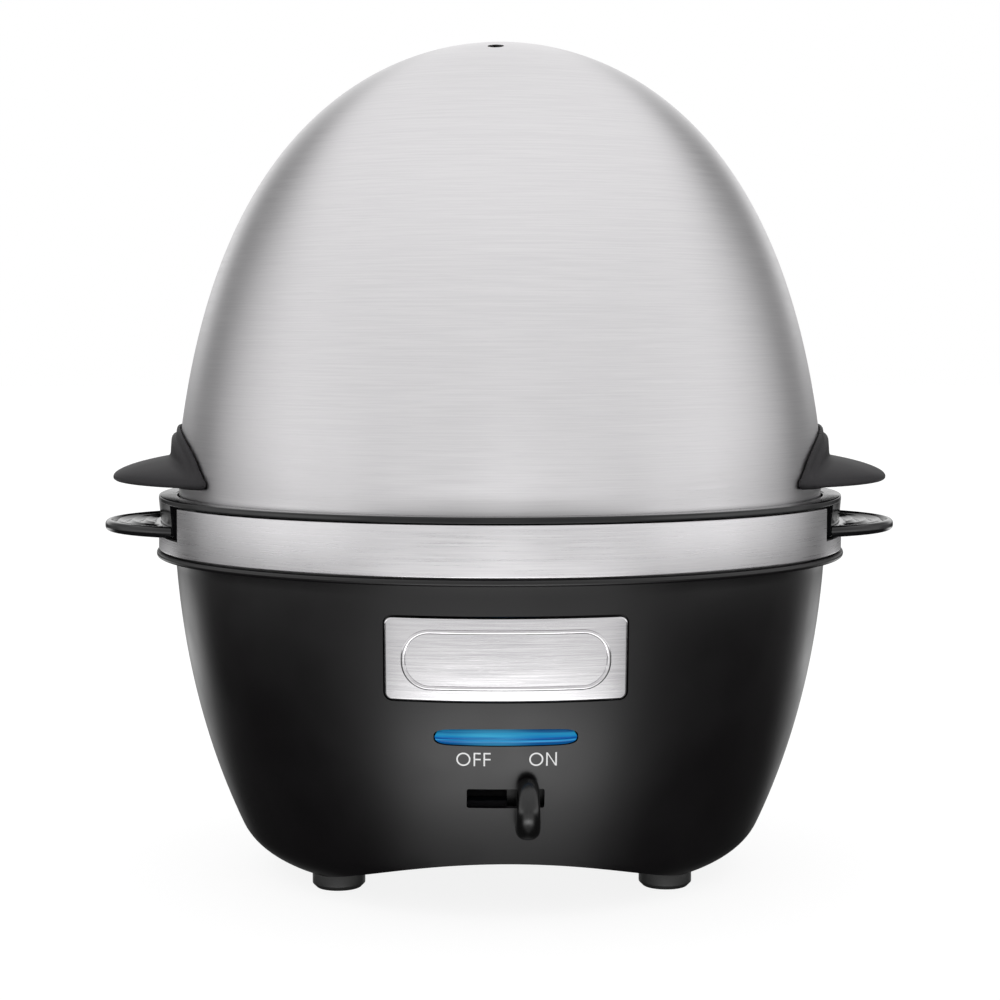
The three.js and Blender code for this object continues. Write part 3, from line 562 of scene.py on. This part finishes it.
def lit_lens():
    """Clear blue plastic lit from behind, with a bright spot near its middle; its bands are painted
    highlights and painted shade of the ribs over the lamp's glow.
    """
    made, graph, inputs = finish_of("lit_blue_lens", Coat_Weight=0.1, Coat_Roughness=0.04,
                                    Specular_IOR_Level=0.1, Emission_Strength=0.85)
    place = graph.add("ShaderNodeSeparateXYZ")
    graph.put(place.inputs[0], graph.object_place())
    wave = graph.noise(1, (45, 45, 1500), detail=2.0)
    half = LENS["rise"] * MM
    share = graph.spread(place.outputs[2], LENS["z"] * MM - half, LENS["z"] * MM + half)
    share = graph.plus(share, graph.times(graph.minus(wave, 0.5), 0.4))
    # The emitted colour up the lens: the lamp's blue glow, with painted highlight lines and painted
    # shade where the ribs catch or lose the light.
    painted_rib_bands = graph.colours(share, [
        (0.0, (0.003, 0.05, 0.17)), (0.14, (0.003, 0.08, 0.3)), (0.24, (0.03, 0.36, 0.7)),
        (0.34, (0.0, 0.05, 0.24)), (0.5, (0.0, 0.06, 0.28)), (0.62, (0.001, 0.19, 0.46)),
        (0.85, (0.01, 0.25, 0.44)), (1.0, (0.003, 0.06, 0.17))])
    from_spot = graph.math("ABSOLUTE", graph.plus(place.outputs[0], 3 * MM))
    glow = graph.spread(from_spot, 1 * MM, 12 * MM, 0.4, 0.0)
    bright = graph.mix(graph.times(glow, wave), painted_rib_bands, (0.12, 0.7, 0.95))
    graph.put(inputs["Emission Color"], bright)
    graph.put(inputs["Base Color"], graph.mix(wave, (0.0, 0.02, 0.06), (0.002, 0.04, 0.1)))
    graph.put(inputs["Roughness"], graph.spread(wave, 0.2, 0.8, 0.08, 0.2))
    return made


def make_finishes():
    return {
        "shell_black": plastic("satin_black_plastic", (0.003, 0.0026, 0.003),
                               (0.0065, 0.006, 0.0065), 0.31, Specular_IOR_Level=0.42),
        "band_steel": brushed("brushed_band_steel", (0.6, 0.59, 0.605), (0.7, 0.69, 0.7), 0.3,
                              (50, 50, 3200), (170, 170, 6000), 0.7),
        "badge_steel": brushed("brushed_badge_steel", (0.56, 0.55, 0.565), (0.67, 0.66, 0.67), 0.2,
                               (60, 60, 4200), (240, 240, 7000)),
        "lens_blue": lit_lens(),
        "rubber_black": plastic("black_rubber", (0.006, 0.006, 0.006), (0.014, 0.014, 0.014),
                                0.5, 0.03),
        "lever_black": plastic("gloss_black_plastic", (0.003, 0.003, 0.003),
                               (0.006, 0.006, 0.006), 0.24, 0.004),
        "tray_black": plastic("tray_black_plastic", (0.004, 0.004, 0.0045), (0.01, 0.01, 0.011),
                              0.13, 0.003, Specular_IOR_Level=0.36),
        "lid_steel": brushed("brushed_dome_steel", (0.62, 0.61, 0.622), (0.69, 0.68, 0.69), 0.34,
                             (45, 45, 2600), (150, 150, 5200), 0.75),
        "handle_grey": plastic("dark_grey_plastic", (0.031, 0.03, 0.0315), (0.052, 0.05, 0.053),
                               0.5, Specular_IOR_Level=0.04),
        "dish_coating": metal("dark_dish_coating", (0.03, 0.03, 0.032), (0.055, 0.055, 0.058),
                              0.36),
        "plated_steel": metal("zinc_plate", (0.42, 0.43, 0.45), (0.62, 0.62, 0.63), 0.34),
        "silicone": plastic("grey_silicone", (0.3, 0.29, 0.27), (0.42, 0.4, 0.37), 0.6, 0.03),
        "ceramic_white": plastic("white_ceramic", (0.62, 0.6, 0.54), (0.76, 0.74, 0.68), 0.5, 0.03),
        "circuit_green": plastic("green_circuit_board", (0.008, 0.07, 0.025), (0.02, 0.13, 0.05),
                                 0.4, 0.02),
        "wire_cover": plastic("silicone_wire_cover", (0.36, 0.34, 0.3), (0.5, 0.48, 0.43),
                              0.45, 0.02),
        "white_ink": plastic("white_print", (0.7, 0.7, 0.7), (0.85, 0.85, 0.85), 0.5, 0.004),
    }


def placed(made, slot, body, *nodes, sharp=32, finish=None):
    """Smooths, finishes and mounts a piece on its body, in place of these CAD nodes."""
    made.data.shade_smooth()
    made.data.set_sharp_from_angle(angle=math.radians(sharp))
    made.data.materials.clear()
    made.data.materials.append(FINISHES[finish or slot])
    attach(made, body)
    if nodes:
        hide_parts(*nodes)


# ---- bowl surface ----

WALL_POINTS = np.array([HEEL, *curve(HEEL, BELLY, BOWL_TOP, 160)])
BOWL_OUTSIDE = [LIP, *curve(LIP, HEEL_CORNER, HEEL, 10), *curve(HEEL, BELLY, BOWL_TOP, 26)]


def wall_radius(z):
    """The bowl's outside radius at height z."""
    return float(np.interp(z, WALL_POINTS[:, 1], WALL_POINTS[:, 0]))


def wall_slope(z):
    return wall_radius(z + 0.5) - wall_radius(z - 0.5)


def on_wall(x, z, lift):
    """The point that stands lift off the bowl's wall, in front of (x, z)."""
    slope = wall_slope(z)
    length = math.hypot(1, slope)
    turn = math.asin(x / wall_radius(z))
    radius = wall_radius(z) + lift / length
    return radius * math.sin(turn), -radius * math.cos(turn), z - lift * slope / length


def offset_profile(points, offset):
    """The profile moved outwards along its normals."""
    line = np.array(points)
    along = np.gradient(line, axis=0)
    along /= np.linalg.norm(along, axis=1)[:, None]
    return [tuple(p) for p in line + offset * np.stack([along[:, 1], -along[:, 0]], axis=1)]


def wall_loops(outline, rings):
    """Loops on the bowl's wall, one for each (inset, lift): outline(inset) gives its (x, z) points,
    and lift how far it stands off the wall."""
    return [[on_wall(x, z, lift) for x, z in outline(inset)] for inset, lift in rings]


def bar_outline(width, height, corner, z, along=20, round_steps=8):
    """outline(inset) of a rounded bar about x = 0, with the same point count at every inset."""
    across = 6
    corners = [(1, -1, -math.pi / 2), (1, 1, 0), (-1, 1, math.pi / 2), (-1, -1, math.pi)]

    def outline(inset):
        a, b = width / 2 - inset, max(height / 2 - inset, 0)
        r = min(max(corner - inset, 0.02), b) if b else 0
        points = []
        for i, (sx, sz, start) in enumerate(corners):
            for j in range(round_steps + 1):
                t = start + math.pi / 2 * j / round_steps
                points.append((sx * (a - r) + r * math.cos(t), z + sz * (b - r) + r * math.sin(t)))
            nx, nz, turn = corners[(i + 1) % 4]
            ex, ez = nx * (a - r) + r * math.cos(turn), z + nz * (b - r) + r * math.sin(turn)
            px, pz = points[-1]
            run = along if i % 2 else across
            points += [(px + (ex - px) * j / run, pz + (ez - pz) * j / run) for j in range(1, run)]
        return points
    return outline


# ---- base ----


def vault():
    """The long cylinder that hollows the base from front to back."""
    reach = 110
    made = turned("vault", [(0, -reach), (ARCH_RADIUS, -reach), (ARCH_RADIUS, reach), (0, reach)],
                  360)
    turn = Matrix.Rotation(math.pi / 2, 4, "X")
    made.data.transform(Matrix.Translation((0, 0, (ARCH_TOP - ARCH_RADIUS) * MM)) @ turn)
    return made


def notch_block(half, reach, top):
    return block("notch", (-reach, -half, NOTCH_FLOOR), (reach, half, top))


def base_bowl():
    """The bowl with its flange, collar and ledge, cut for all that sits in it."""
    inside = [p for p in offset_profile(BOWL_OUTSIDE, -WALL) if p[1] < FLANGE["low"] - WALL]
    profile = filleted([
        *[(r, z, 0) for r, z in BOWL_OUTSIDE[:-1]],
        (*BOWL_TOP, 0.3),
        (FLANGE["radius"], FLANGE["low"], 0.8), (FLANGE["radius"], FLANGE["top"], 0.8),
        (COLLAR["outer"], FLANGE["top"], 0), (COLLAR["outer"], COLLAR["top"], 0.3),
        (COLLAR["inner"], COLLAR["top"], 0.3), (COLLAR["inner"], LEDGE["top"], 0),
        (LEDGE["inner"], LEDGE["top"], 0.2), (LEDGE["inner"], LEDGE["low"], 0),
        (BOWL_TOP[0] - WALL, LEDGE["low"] - 1, 0),
        *[(r, z, 0) for r, z in reversed(inside)],
    ])
    bowl = turned("base_bowl", profile, LARGE_STEPS)
    join(bowl, rearwards(rod("boss", GLAND["boss"], GLAND["root"], GLAND["face"], steps=96)))
    gap, clear = BADGE["gap"], 4
    bar = bar_outline(BADGE["width"] + 2 * gap, BADGE["height"] + 2 * gap, BADGE["corner"] + gap,
                      BADGE["z"])
    rings = [(0, -BADGE["recess"]), *[(inset, clear) for inset in (0, 4, 8, 10.75)]]
    recess = skin("recess", wall_loops(bar, rings), caps=(0,))
    window = prism("window", lens_outline(), OPENING["front"], OPENING["lens_back"])
    slot = prism("slot", filleted([
        (side * SLOT["half"], SLOT[level], SLOT["corner"])
        for side, level in ((-1, "low"), (1, "low"), (1, "top"), (-1, "top"))
    ]), OPENING["front"], OPENING["slot_back"])
    bore = rearwards(rod("bore", GLAND["hole"], GLAND["inside"] - 4, GLAND["face"] + 2))
    notch = notch_block(COLLAR_NOTCH_HALF, FLANGE["radius"] + 1, COLLAR["top"] + 1)
    return cut(bowl, vault(), notch, recess, slot, window, bore)


def steel_band():
    """The band with its rolled edges, notched at both sides for the tray's grips."""
    low, high = node_box("rim_band")
    inner = high.x - BAND_SHEET
    ring = turned("steel_band", filleted([
        (inner, low.z, 0.1), (high.x, low.z, 0.4), (high.x, high.z, 0.4), (inner, high.z, 0.1),
    ], 5), LARGE_STEPS)
    return cut(ring, notch_block(BAND_NOTCH_HALF, high.x + 1, high.z + 1))


def badge_plate():
    """A pressed plate with a bevelled edge and a plain raised border line."""
    top, half, along = BADGE["proud"], BADGE["height"] / 2, 30
    outline = bar_outline(BADGE["width"], BADGE["height"], BADGE["corner"], BADGE["z"], along)
    rings = [(0, -0.8), (0, top - 0.3), (0.08, top - 0.14), (0.28, top)]
    rings += [(0.6 + (half - 0.6) * i / 10, top) for i in range(11)]
    plate = skin("badge_face", wall_loops(outline, rings), caps=(0,))
    line, rise = BADGE_FRAME["line"], BADGE_FRAME["rise"]
    border = bar_outline(BADGE_FRAME["width"], BADGE_FRAME["height"],
                         BADGE_FRAME["height"] / 2 - 0.6, BADGE["z"], along, 14)
    turns = [math.pi * i / 8 for i in range(9)]
    section = [(line * (0.5 - 0.5 * math.cos(turn)), top + rise * math.sin(turn) ** 0.7)
               for turn in turns]
    section += [(line, top - 0.2), (0, top - 0.2)]
    return gather(plate, skin("ridge", wall_loops(border, section), closed_rings=True))


def lens_height(x):
    """Half the lens's height at x, with a long even middle and ends that close quickly."""
    share = min(abs(x) / LENS["half"], 1)
    return LENS["rise"] * (1 - share ** 14) ** 0.5 * (1 - 0.12 * share ** 2)


def lens_outline():
    """The lens's window, wider and higher than the lens by the gap."""
    half, gap, steps = LENS["half"], LENS["gap"], 60
    xs = [half * math.sin(math.pi * (i / steps - 0.5)) for i in range(steps + 1)]
    below = [(x * (1 + gap / half), LENS["z"] - lens_height(x) - gap) for x in xs]
    above = [(x * (1 + gap / half), LENS["z"] + lens_height(x) + gap) for x in reversed(xs)]
    return below + above


def lens_bar():
    """A long lens with shallow ribs along it, on a skirt that goes back to the lamps."""
    across, along = 24, 60
    half, z, depth, proud = LENS["half"], LENS["z"], LENS["depth"], LENS["proud"] - LENS["rib"]
    loops = []
    for i in range(along + 1):
        x = half * math.sin(math.pi * (i / along - 0.5))
        loop = [on_wall(x, z - lens_height(x), -depth)]
        for j in range(across + 1):
            v = 2 * j / across - 1
            crown = (1 - abs(v) ** 2.4) * (1 - abs(x / half) ** 8)
            rib = LENS["rib"] * math.cos(2.5 * math.pi * v) * (1 - v * v)
            loop.append(on_wall(x, z + v * lens_height(x), proud * crown + rib * crown))
        loop.append(on_wall(x, z + lens_height(x), -depth))
        loops.append(loop)
    return skin("lens_bar", loops, caps=(0, along))


def letter(name, x, outline, hole=None):
    """A flat printed letter at x. Its outline is in letter heights, and a hole makes it a ring."""
    size, lift, root = LEGEND["height"], LEGEND["lift"], -0.1

    def loop(points, height):
        return [on_wall(x + u * size, LEGEND["z"] + (v - 0.5) * size, height) for u, v in points]

    loops = [loop(outline, root), loop(outline, lift)]
    if hole is None:
        return skin(name, loops, caps=(0, 1))
    return skin(name, [*loops, loop(hole, lift), loop(hole, root)], closed_rings=True)


def letter_o(x):
    turns = [2 * math.pi * i / 48 for i in range(48)]
    outer, inner = [[(reach * math.cos(t), 0.5 + reach * math.sin(t)) for t in turns]
                    for reach in (0.5, 0.5 - PEN)]
    return letter("letter_o", x, outer, inner)


def letter_f(x):
    arm, bar = 0.5, 0.5
    return letter("letter_f", x, [
        (0, 0), (PEN, 0), (PEN, bar - PEN / 2), (arm, bar - PEN / 2), (arm, bar + PEN / 2),
        (PEN, bar + PEN / 2), (PEN, 1 - PEN), (arm, 1 - PEN), (arm, 1), (0, 1)])


def letter_n(x):
    wide, slant = 0.76, 0.3
    return letter("letter_n", x, [
        (0, 0), (PEN, 0), (PEN, 1 - PEN - slant * PEN), (wide - PEN, 0), (wide, 0), (wide, 1),
        (wide - PEN, 1), (wide - PEN, PEN + slant * PEN), (PEN, 1), (0, 1)])


def switch_legends():
    """OFF and ON, printed above the two ends of the switch's slot."""
    size, left, right = LEGEND["height"], LEGEND["off_x"], LEGEND["on_x"]
    return gather(
        letter_o(left - 0.6 * size), letter_f(left + 0.12 * size), letter_f(left + 0.82 * size),
        letter_o(right - 0.42 * size), letter_n(right + 0.28 * size))


def lever_knob():
    """The lever's rounded fin and its stem through the slot, with the guide plate behind it."""
    x, half, z, reach = LEVER["x"], LEVER["half"], LEVER["z"], LEVER["reach"]
    tall = LEVER["length"] / 2
    slope = math.atan(wall_slope(z))
    wall = -wall_radius(z)
    middle = (SLOT["low"] + SLOT["top"]) / 2

    def field(px, py, pz):
        out = -(py - wall) * math.cos(slope) - (pz - z) * math.sin(slope)
        up = -(py - wall) * math.sin(slope) + (pz - z) * math.cos(slope)
        side = px - x
        wide = half * (1 - 0.1 * np.clip(up / tall, -1, 1))
        q = np.sqrt((out / reach) ** 2 + (up / tall) ** 2) + 1e-6
        oval = (q - 1) * q / np.sqrt((out / reach ** 2) ** 2 + (up / tall ** 2) ** 2 + 1e-9)
        fin = soft_max(oval, np.abs(side) - wide, 3.4)
        fin = soft_max(fin, 0.7 - out, 0.8)
        stem = np.maximum(np.abs(side) - STEM["half"], np.abs(pz - middle) - STEM["half_height"])
        stem = np.maximum(stem, np.maximum(wall - 1.5 - py, py - STEM["tail"]))
        return soft_min(fin, stem, 0.5)

    room = half + 1
    knob = moulded("lever_knob", field, (x - room, -92.5, 20.5), (x + room, -64.5, 42.5),
                   LEVER["cell"])
    guide = block("guide", (x - GUIDE["half"], GUIDE["front"], middle - GUIDE["half_height"]),
                  (x + GUIDE["half"], GUIDE["back"], middle + GUIDE["half_height"]))
    return gather(knob, guide)


def foot_pad(index):
    low, high = node_box(f"foot_{index}")
    radius = (high.x - low.x) / 2
    pad = turned(f"foot_pad_{index}", filleted([
        (0, 0, 0), (radius - 1.2, 0, 0.5), (radius, 1.2, 0.6), (radius, FOOT["height"], 0.2),
        (FOOT["stud"], FOOT["height"], 0), (FOOT["stud"], high.z, 0.3), (0, high.z, 0)]), 64)
    return moved(pad, (low.x + high.x) / 2, (low.y + high.y) / 2)


def cord_bushing():
    """The rubber gland: a rounded flange outside, a sleeve through the boss and a collar inside."""
    bore, flange, sleeve = GLAND["bore"], GLAND["flange"], GLAND["hole"] - 0.3
    face, inside = GLAND["face"], GLAND["inside"]
    return rearwards(turned("cord_bushing", filleted([
        (bore, inside - 1, 0.3), (flange, inside - 1, 0.5), (flange, inside + 1.5, 0.3),
        (sleeve, inside + 1.5, 0), (sleeve, face + 0.3, 0), (flange, face + 0.3, 0.3),
        (flange, face + 2.5, 1.2), (bore, face + 2.5, 0.6)]), 96))


# ---- heating plate and trays ----


def water_dish():
    """The dish with its rolled rim, a shallow ring pressed round its middle, and three studs."""
    low, high = node_box("heating_plate")
    floor, lip = DISH["floor"], high.x - 0.4
    under_floor, under_rim = floor - DISH["floor_sheet"], high.z - DISH["rim_sheet"]
    inner, outer, slope = DISH_RING["inner"], DISH_RING["outer"], DISH_RING["slope"]
    pressed = floor - DISH_RING["depth"]
    dish = turned("water_dish", filleted([
        (0, under_floor, 0), (DISH["outer_foot"], under_floor, 1.2),
        (DISH["outer_rim"], under_rim, 0.8), (lip, under_rim, 0.2), (lip, high.z, 0.5),
        (DISH["inner_rim"], high.z, 1.2), (DISH["inner_foot"], floor, 1.6), (outer, floor, 0.5),
        (outer - slope, pressed, 0.5), (inner + slope, pressed, 0.5), (inner, floor, 0.5),
        (0, floor, 0)], 6), MIDDLE_STEPS)
    places = ring_places(STUD["reach"], 3, math.pi / 2)
    return gather(dish, *[rod("stud", STUD["radius"], low.z + 3, high.z - 0.6, x, y, 24)
                          for x, y in places])


def ring_places(reach, count, start):
    """The (x, y) of count places on a circle."""
    return [(reach * math.cos(a), reach * math.sin(a))
            for a in (start + 2 * math.pi * i / count for i in range(count))]


def holes_at(places, radius, low, top, flare=0.4):
    """Cutters through a disc from low to top, flared at both of its faces."""
    return [rod("hole", radius, low - 0.1, top + 0.1, x, y, 72, flare) for x, y in places]


def tray_disc():
    """The lower tray: a holed disc, a skirt that drops inside the dish, and a rim over the band."""
    tray, low, top = LOWER_TRAY, LOWER_TRAY["low"], LOWER_TRAY["top"]
    disc = turned("tray_disc", filleted([
        (0, low, 0), (tray["skirt"], low, 0.4), (tray["skirt"], tray["skirt_low"], 0.3),
        (tray["wall"], tray["skirt_low"], 0.4), (tray["wall"], tray["rim_low"], 0.2),
        (tray["rim"], tray["rim_low"], 0.3), (tray["rim"], tray["rim_top"], 0.5),
        (tray["inner"], tray["rim_top"], 0.5), (tray["inner"], top, 0.8), (0, top, 0)],
        5), LARGE_STEPS)
    eggs = [(0, 0), *ring_places(LOWER_REACH, 6, 0)]
    steam = ring_places(STEAM["reach"], 6, math.pi / 6)
    return cut(disc, *holes_at(eggs, EGG_HOLE, low, top, 0.6),
               *holes_at(steam, STEAM["radius"], low, top))


def grip_height(inset, clearance):
    """The height of the grip's top: a rounded border, and scallops that follow its outer edge.
    inset is the distance from that edge, and clearance the distance from the tray's riser."""
    top, edge = GRIP["top"], GRIP["edge"]
    if inset < edge:
        return top - edge + math.sqrt(max(edge ** 2 - (edge - inset) ** 2, 0))
    scallop = abs(math.sin(math.pi * inset / GRIP["pitch"])) ** 0.9
    sunk = GRIP["panel"] * (0.15 + 0.85 * scallop)
    share = min(max((inset - GRIP["border"]) / 0.5, 0), 1)
    share *= min(max((clearance - 0.6) / 0.8, 0), 1)
    return top - sunk * share * share * (3 - 2 * share)


def grip(side):
    """One crescent grip with its riser. Rows keep a constant distance from the outer edge."""
    radius, line, under = GRIP["radius"], RISER["line"], GRIP["under_edge"]
    centre = node_box("egg_tray")[1].x - radius
    rows, columns = 96, 96
    tops, bottoms = [], []
    for i in range(rows + 1):
        share = i / rows
        reach = (line - centre) + (radius - line + centre) * (1 - (1 - share) ** 1.35)
        cosine = (line ** 2 - centre ** 2 - reach ** 2) / (2 * centre * reach)
        widest = math.acos(min(max(cosine, -1), 1))
        inset = radius - reach
        lift = under - math.sqrt(max(under ** 2 - max(under - inset, 0) ** 2, 0))
        for j in range(columns + 1):
            angle = widest * (2 * j / columns - 1)
            x, y = centre + reach * math.cos(angle), reach * math.sin(angle)
            height = grip_height(inset, math.hypot(x, y) - RISER["outer"])
            tops.append((side * x, side * y, height))
            bottoms.append((side * x, side * y, GRIP["low"] + lift))
    count, shift = columns + 1, len(tops)
    faces = ring_faces(rows + 1, count, closed_rings=False, closed_round=False)
    faces += [tuple(k + shift for k in reversed(face)) for face in faces]
    sides = [(i * count + j, (i + 1) * count + j) for i in range(rows) for j in (0, columns)]
    outer = [(rows * count + j, rows * count + j + 1) for j in range(columns)]
    faces += [(a, b, b + shift, a + shift) for a, b in sides + outer]
    plate = form(f"tray_grip_{'right' if side > 0 else 'left'}", tops + bottoms, faces)
    turn = math.asin(RISER["half"] / line)
    middle = 0 if side > 0 else math.pi
    wall = turned("riser", filleted([
        (RISER["inner"], GRIP["low"], 0.2), (RISER["foot"], GRIP["low"], 0.6),
        (RISER["outer"], RISER["top"], 0), (RISER["lip"], RISER["top"], 0),
        (RISER["inner"], RISER["shoulder"], 0)]), 48, (middle - turn, middle + turn))
    return gather(plate, wall)


def upper_shelf():
    """The upper tray: a rimmed disc with three egg holes on three legs."""
    low, high = node_box("upper_tray")
    radius, under, top = high.x, UPPER_TRAY["low"], UPPER_TRAY["top"]
    inner = radius - UPPER_TRAY["rim"]
    disc = turned("upper_shelf", filleted([
        (0, under, 0), (inner, under, 0.4), (radius, under + 1, 0.5), (radius, high.z, 0.6),
        (inner, high.z, 0.6), (inner, top, 0.8), (0, top, 0)], 5), MIDDLE_STEPS)
    foot, shank, ankle = LEG["foot"], LEG["radius"], low.z + LEG["foot_height"]
    legs = [moved(turned("leg", filleted([
        (0, low.z, 0), (foot, low.z, 0.5), (foot, ankle, 0.8), (shank, ankle + 1, 1),
        (shank, LEG["neck"], 1.5), (foot, LEG["head"], 0), (0, LEG["head"], 0)]), 48), x, y)
        for x, y in ring_places(LEG["reach"], 3, -math.pi / 2)]
    join(disc, *legs)
    return cut(disc, *holes_at(ring_places(UPPER_REACH, 3, math.pi / 2), EGG_HOLE, under, top, 0.6))


# ---- lid ----


def dome_radius(z):
    """The dome's outside radius at height z: the egg curve, eased into the skirt."""
    share = np.clip((np.asarray(z, float) - DOME["foot"]) / DOME["height"], 0, 1)
    egg = DOME["radius"] * (1 - share ** DOME["rise"]) ** (1 / DOME["round"])
    return soft_min(egg, SKIRT_RADIUS, SKIRT_BLEND)


def dome_shell():
    """The pressed dome with a rounded foot and one steam vent."""
    low = node_box("lid_dome")[0].z
    crown, steps = DOME["foot"] + DOME["height"], 110
    heights = [low + 0.4 + (crown - low - 0.4) * math.sin(math.pi / 2 * i / steps)
               for i in range(steps)]
    outside = [(float(dome_radius(z)), z) for z in heights]
    # One point beyond the axis keeps the last normal right.
    inside = offset_profile(outside + [(-outside[-1][0], outside[-1][1])], -DOME_SHEET)[:-1]
    inside = [(max(r, 0.05), z) for r, z in inside]
    foot_in, foot_out = inside[0][0], outside[0][0]
    foot = [(foot_in + 0.12, low + 0.1), ((foot_in + foot_out) / 2, low),
            (foot_out - 0.12, low + 0.1)]
    profile = [*outside, (0.0, crown), (0.0, crown - DOME_SHEET), *reversed(inside), *foot]
    return cut(turned("dome_shell", profile, LARGE_STEPS), vent_cutter(outside))


def vent_cutter(outside):
    """The steam vent, square to the dome, with the sheet thinned round it from inside."""
    radii, heights = zip(*reversed(outside))
    height = float(np.interp(abs(VENT["y"]), radii, heights))
    slope = math.atan(height - float(np.interp(abs(VENT["y"]) + 1, radii, heights)))
    wide = VENT["radius"] + VENT["flare"]
    cutter = turned("vent", [
        (0, -3), (wide, -3), (wide, -DOME_SHEET - 0.05), (VENT["radius"], -VENT["rim"]),
        (VENT["radius"], 3), (0, 3)], 48)
    place = Matrix.Translation(Vector((VENT["x"], VENT["y"], height)) * MM)
    cutter.data.transform(place @ Matrix.Rotation(slope, 4, "X"))
    return cutter


def lid_grip(side):
    """A handle: a plate that wraps the dome, a thicker saddle on it, and the wing that grows from
    them. The field is that of the right handle, and the left one is turned half round."""
    right = side == "right"
    low, high = node_box(f"lid_handle_{side}")
    tip = high.x if right else -low.x
    centre = tip - WING["radius"]
    half_width = SKIRT_RADIUS * math.sin(SADDLE["half_angle"])
    base, height = SADDLE["low"], SADDLE["top"] - SADDLE["low"]

    def oval(y, z, inset):
        a, b = half_width - inset, height - inset
        q = np.sqrt((y / a) ** 2 + ((z - base) / b) ** 2) + 1e-6
        return (q - 1) * q / np.sqrt((y / a ** 2) ** 2 + ((z - base) / b ** 2) ** 2 + 1e-12)

    def field(px, py, pz):
        lift = np.hypot(px, py) - dome_radius(pz)
        under = WING["low"] + 0.3 - pz
        plate = soft_max(oval(py, pz, 0), lift - SADDLE["plate"], 0.7)
        saddle = soft_max(oval(py, pz, 2.2), lift - SADDLE["crown"], 1.2)
        body = soft_max(soft_min(plate, saddle, 0.3), under, 0.6)
        inset = WING["radius"] - np.hypot(px - centre, py)
        clear = np.maximum(inset, 0) + 0.25
        top = base + WING["rise"] * (clear / WING["span"]) ** WING["power"]
        steep = (clear / WING["span"]) ** (WING["power"] - 1)
        steep = WING["rise"] * WING["power"] / WING["span"] * steep
        over = (pz - top) / np.sqrt(1 + steep ** 2)
        bottom = WING["low"] + 1.3 * np.exp(-clear / 1.1)
        wing = soft_max(soft_max(over, (bottom - pz) * 0.9, 0.8), -inset, 1.2)
        return soft_max(soft_min(body, wing, 1.6), SADDLE["gap"] - lift, 0.15)

    made = moulded(f"lid_grip_{side}", field, (72, -48.6, 105.8), (tip + 1, 48.6, 126),
                   WING["cell"])
    if not right:
        made.data.transform(Matrix.Rotation(math.pi, 4, "Z"))
    return made


# ---- assembly ----


def build_base():
    placed(base_bowl(), "shell_black", "root", "base_shell")
    placed(steel_band(), "band_steel", "root", "rim_band")
    placed(badge_plate(), "badge_steel", "root", "badge_plate", sharp=50)
    placed(lens_bar(), "lens_blue", "root", "indicator_lens")
    placed(switch_legends(), "shell_black", "root", finish="white_ink")
    for i in range(1, 5):
        placed(foot_pad(i), "rubber_black", "root", f"foot_{i}", sharp=45)
    placed(cord_bushing(), "rubber_black", "root", "cord_gland", sharp=45)
    placed(water_dish(), "dish_coating", "root", "heating_plate", sharp=45)
    placed(lever_knob(), "lever_black", "switch_lever", "switch_lever", sharp=50)


def build_trays():
    placed(tray_disc(), "tray_black", "egg_tray", "egg_tray", sharp=40)
    for side in (1, -1):
        placed(grip(side), "tray_black", "egg_tray", sharp=50)
    placed(upper_shelf(), "tray_black", "upper_tray", "upper_tray", sharp=40)


def build_lid():
    placed(dome_shell(), "lid_steel", "lid", "lid_dome", sharp=40)
    for side in ("right", "left"):
        placed(lid_grip(side), "handle_grey", "lid", f"lid_handle_{side}", sharp=60)


# The finishes of the CAD nodes that show as they are, by how the nodes' names start.
CARRIED = {
    "shell_black": ["base_cover"],
    "plated_steel": ["cover_screw_", "clamp_ring", "clamp_nut_", "heating_element", "element_pin_",
                     "thermostat_clip", "lid_screw_"],
    "silicone": ["plate_gasket"],
    "ceramic_white": ["thermostat", "thermal_fuse", "terminal_block"],
    "lever_black": ["buzzer"],
    "handle_grey": ["switch_body"],
    "circuit_green": ["led_board"],
    "wire_cover": ["wire_"],
}


def finish_carried_nodes():
    """Gives each CAD node that still shows the first finish that its name fits."""
    for name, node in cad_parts.items():
        if node.hide_render:
            continue
        slot = next(s for s, starts in CARRIED.items() if name.startswith(tuple(starts)))
        node.data.materials.clear()
        node.data.materials.append(FINISHES[slot])


bpy.context.scene.view_settings.view_transform = "Standard"
make_camera()
make_light()
make_floor()
FINISHES = make_finishes()
build_base()
build_trays()
build_lid()
finish_carried_nodes()

bpy.context.view_layer.update()
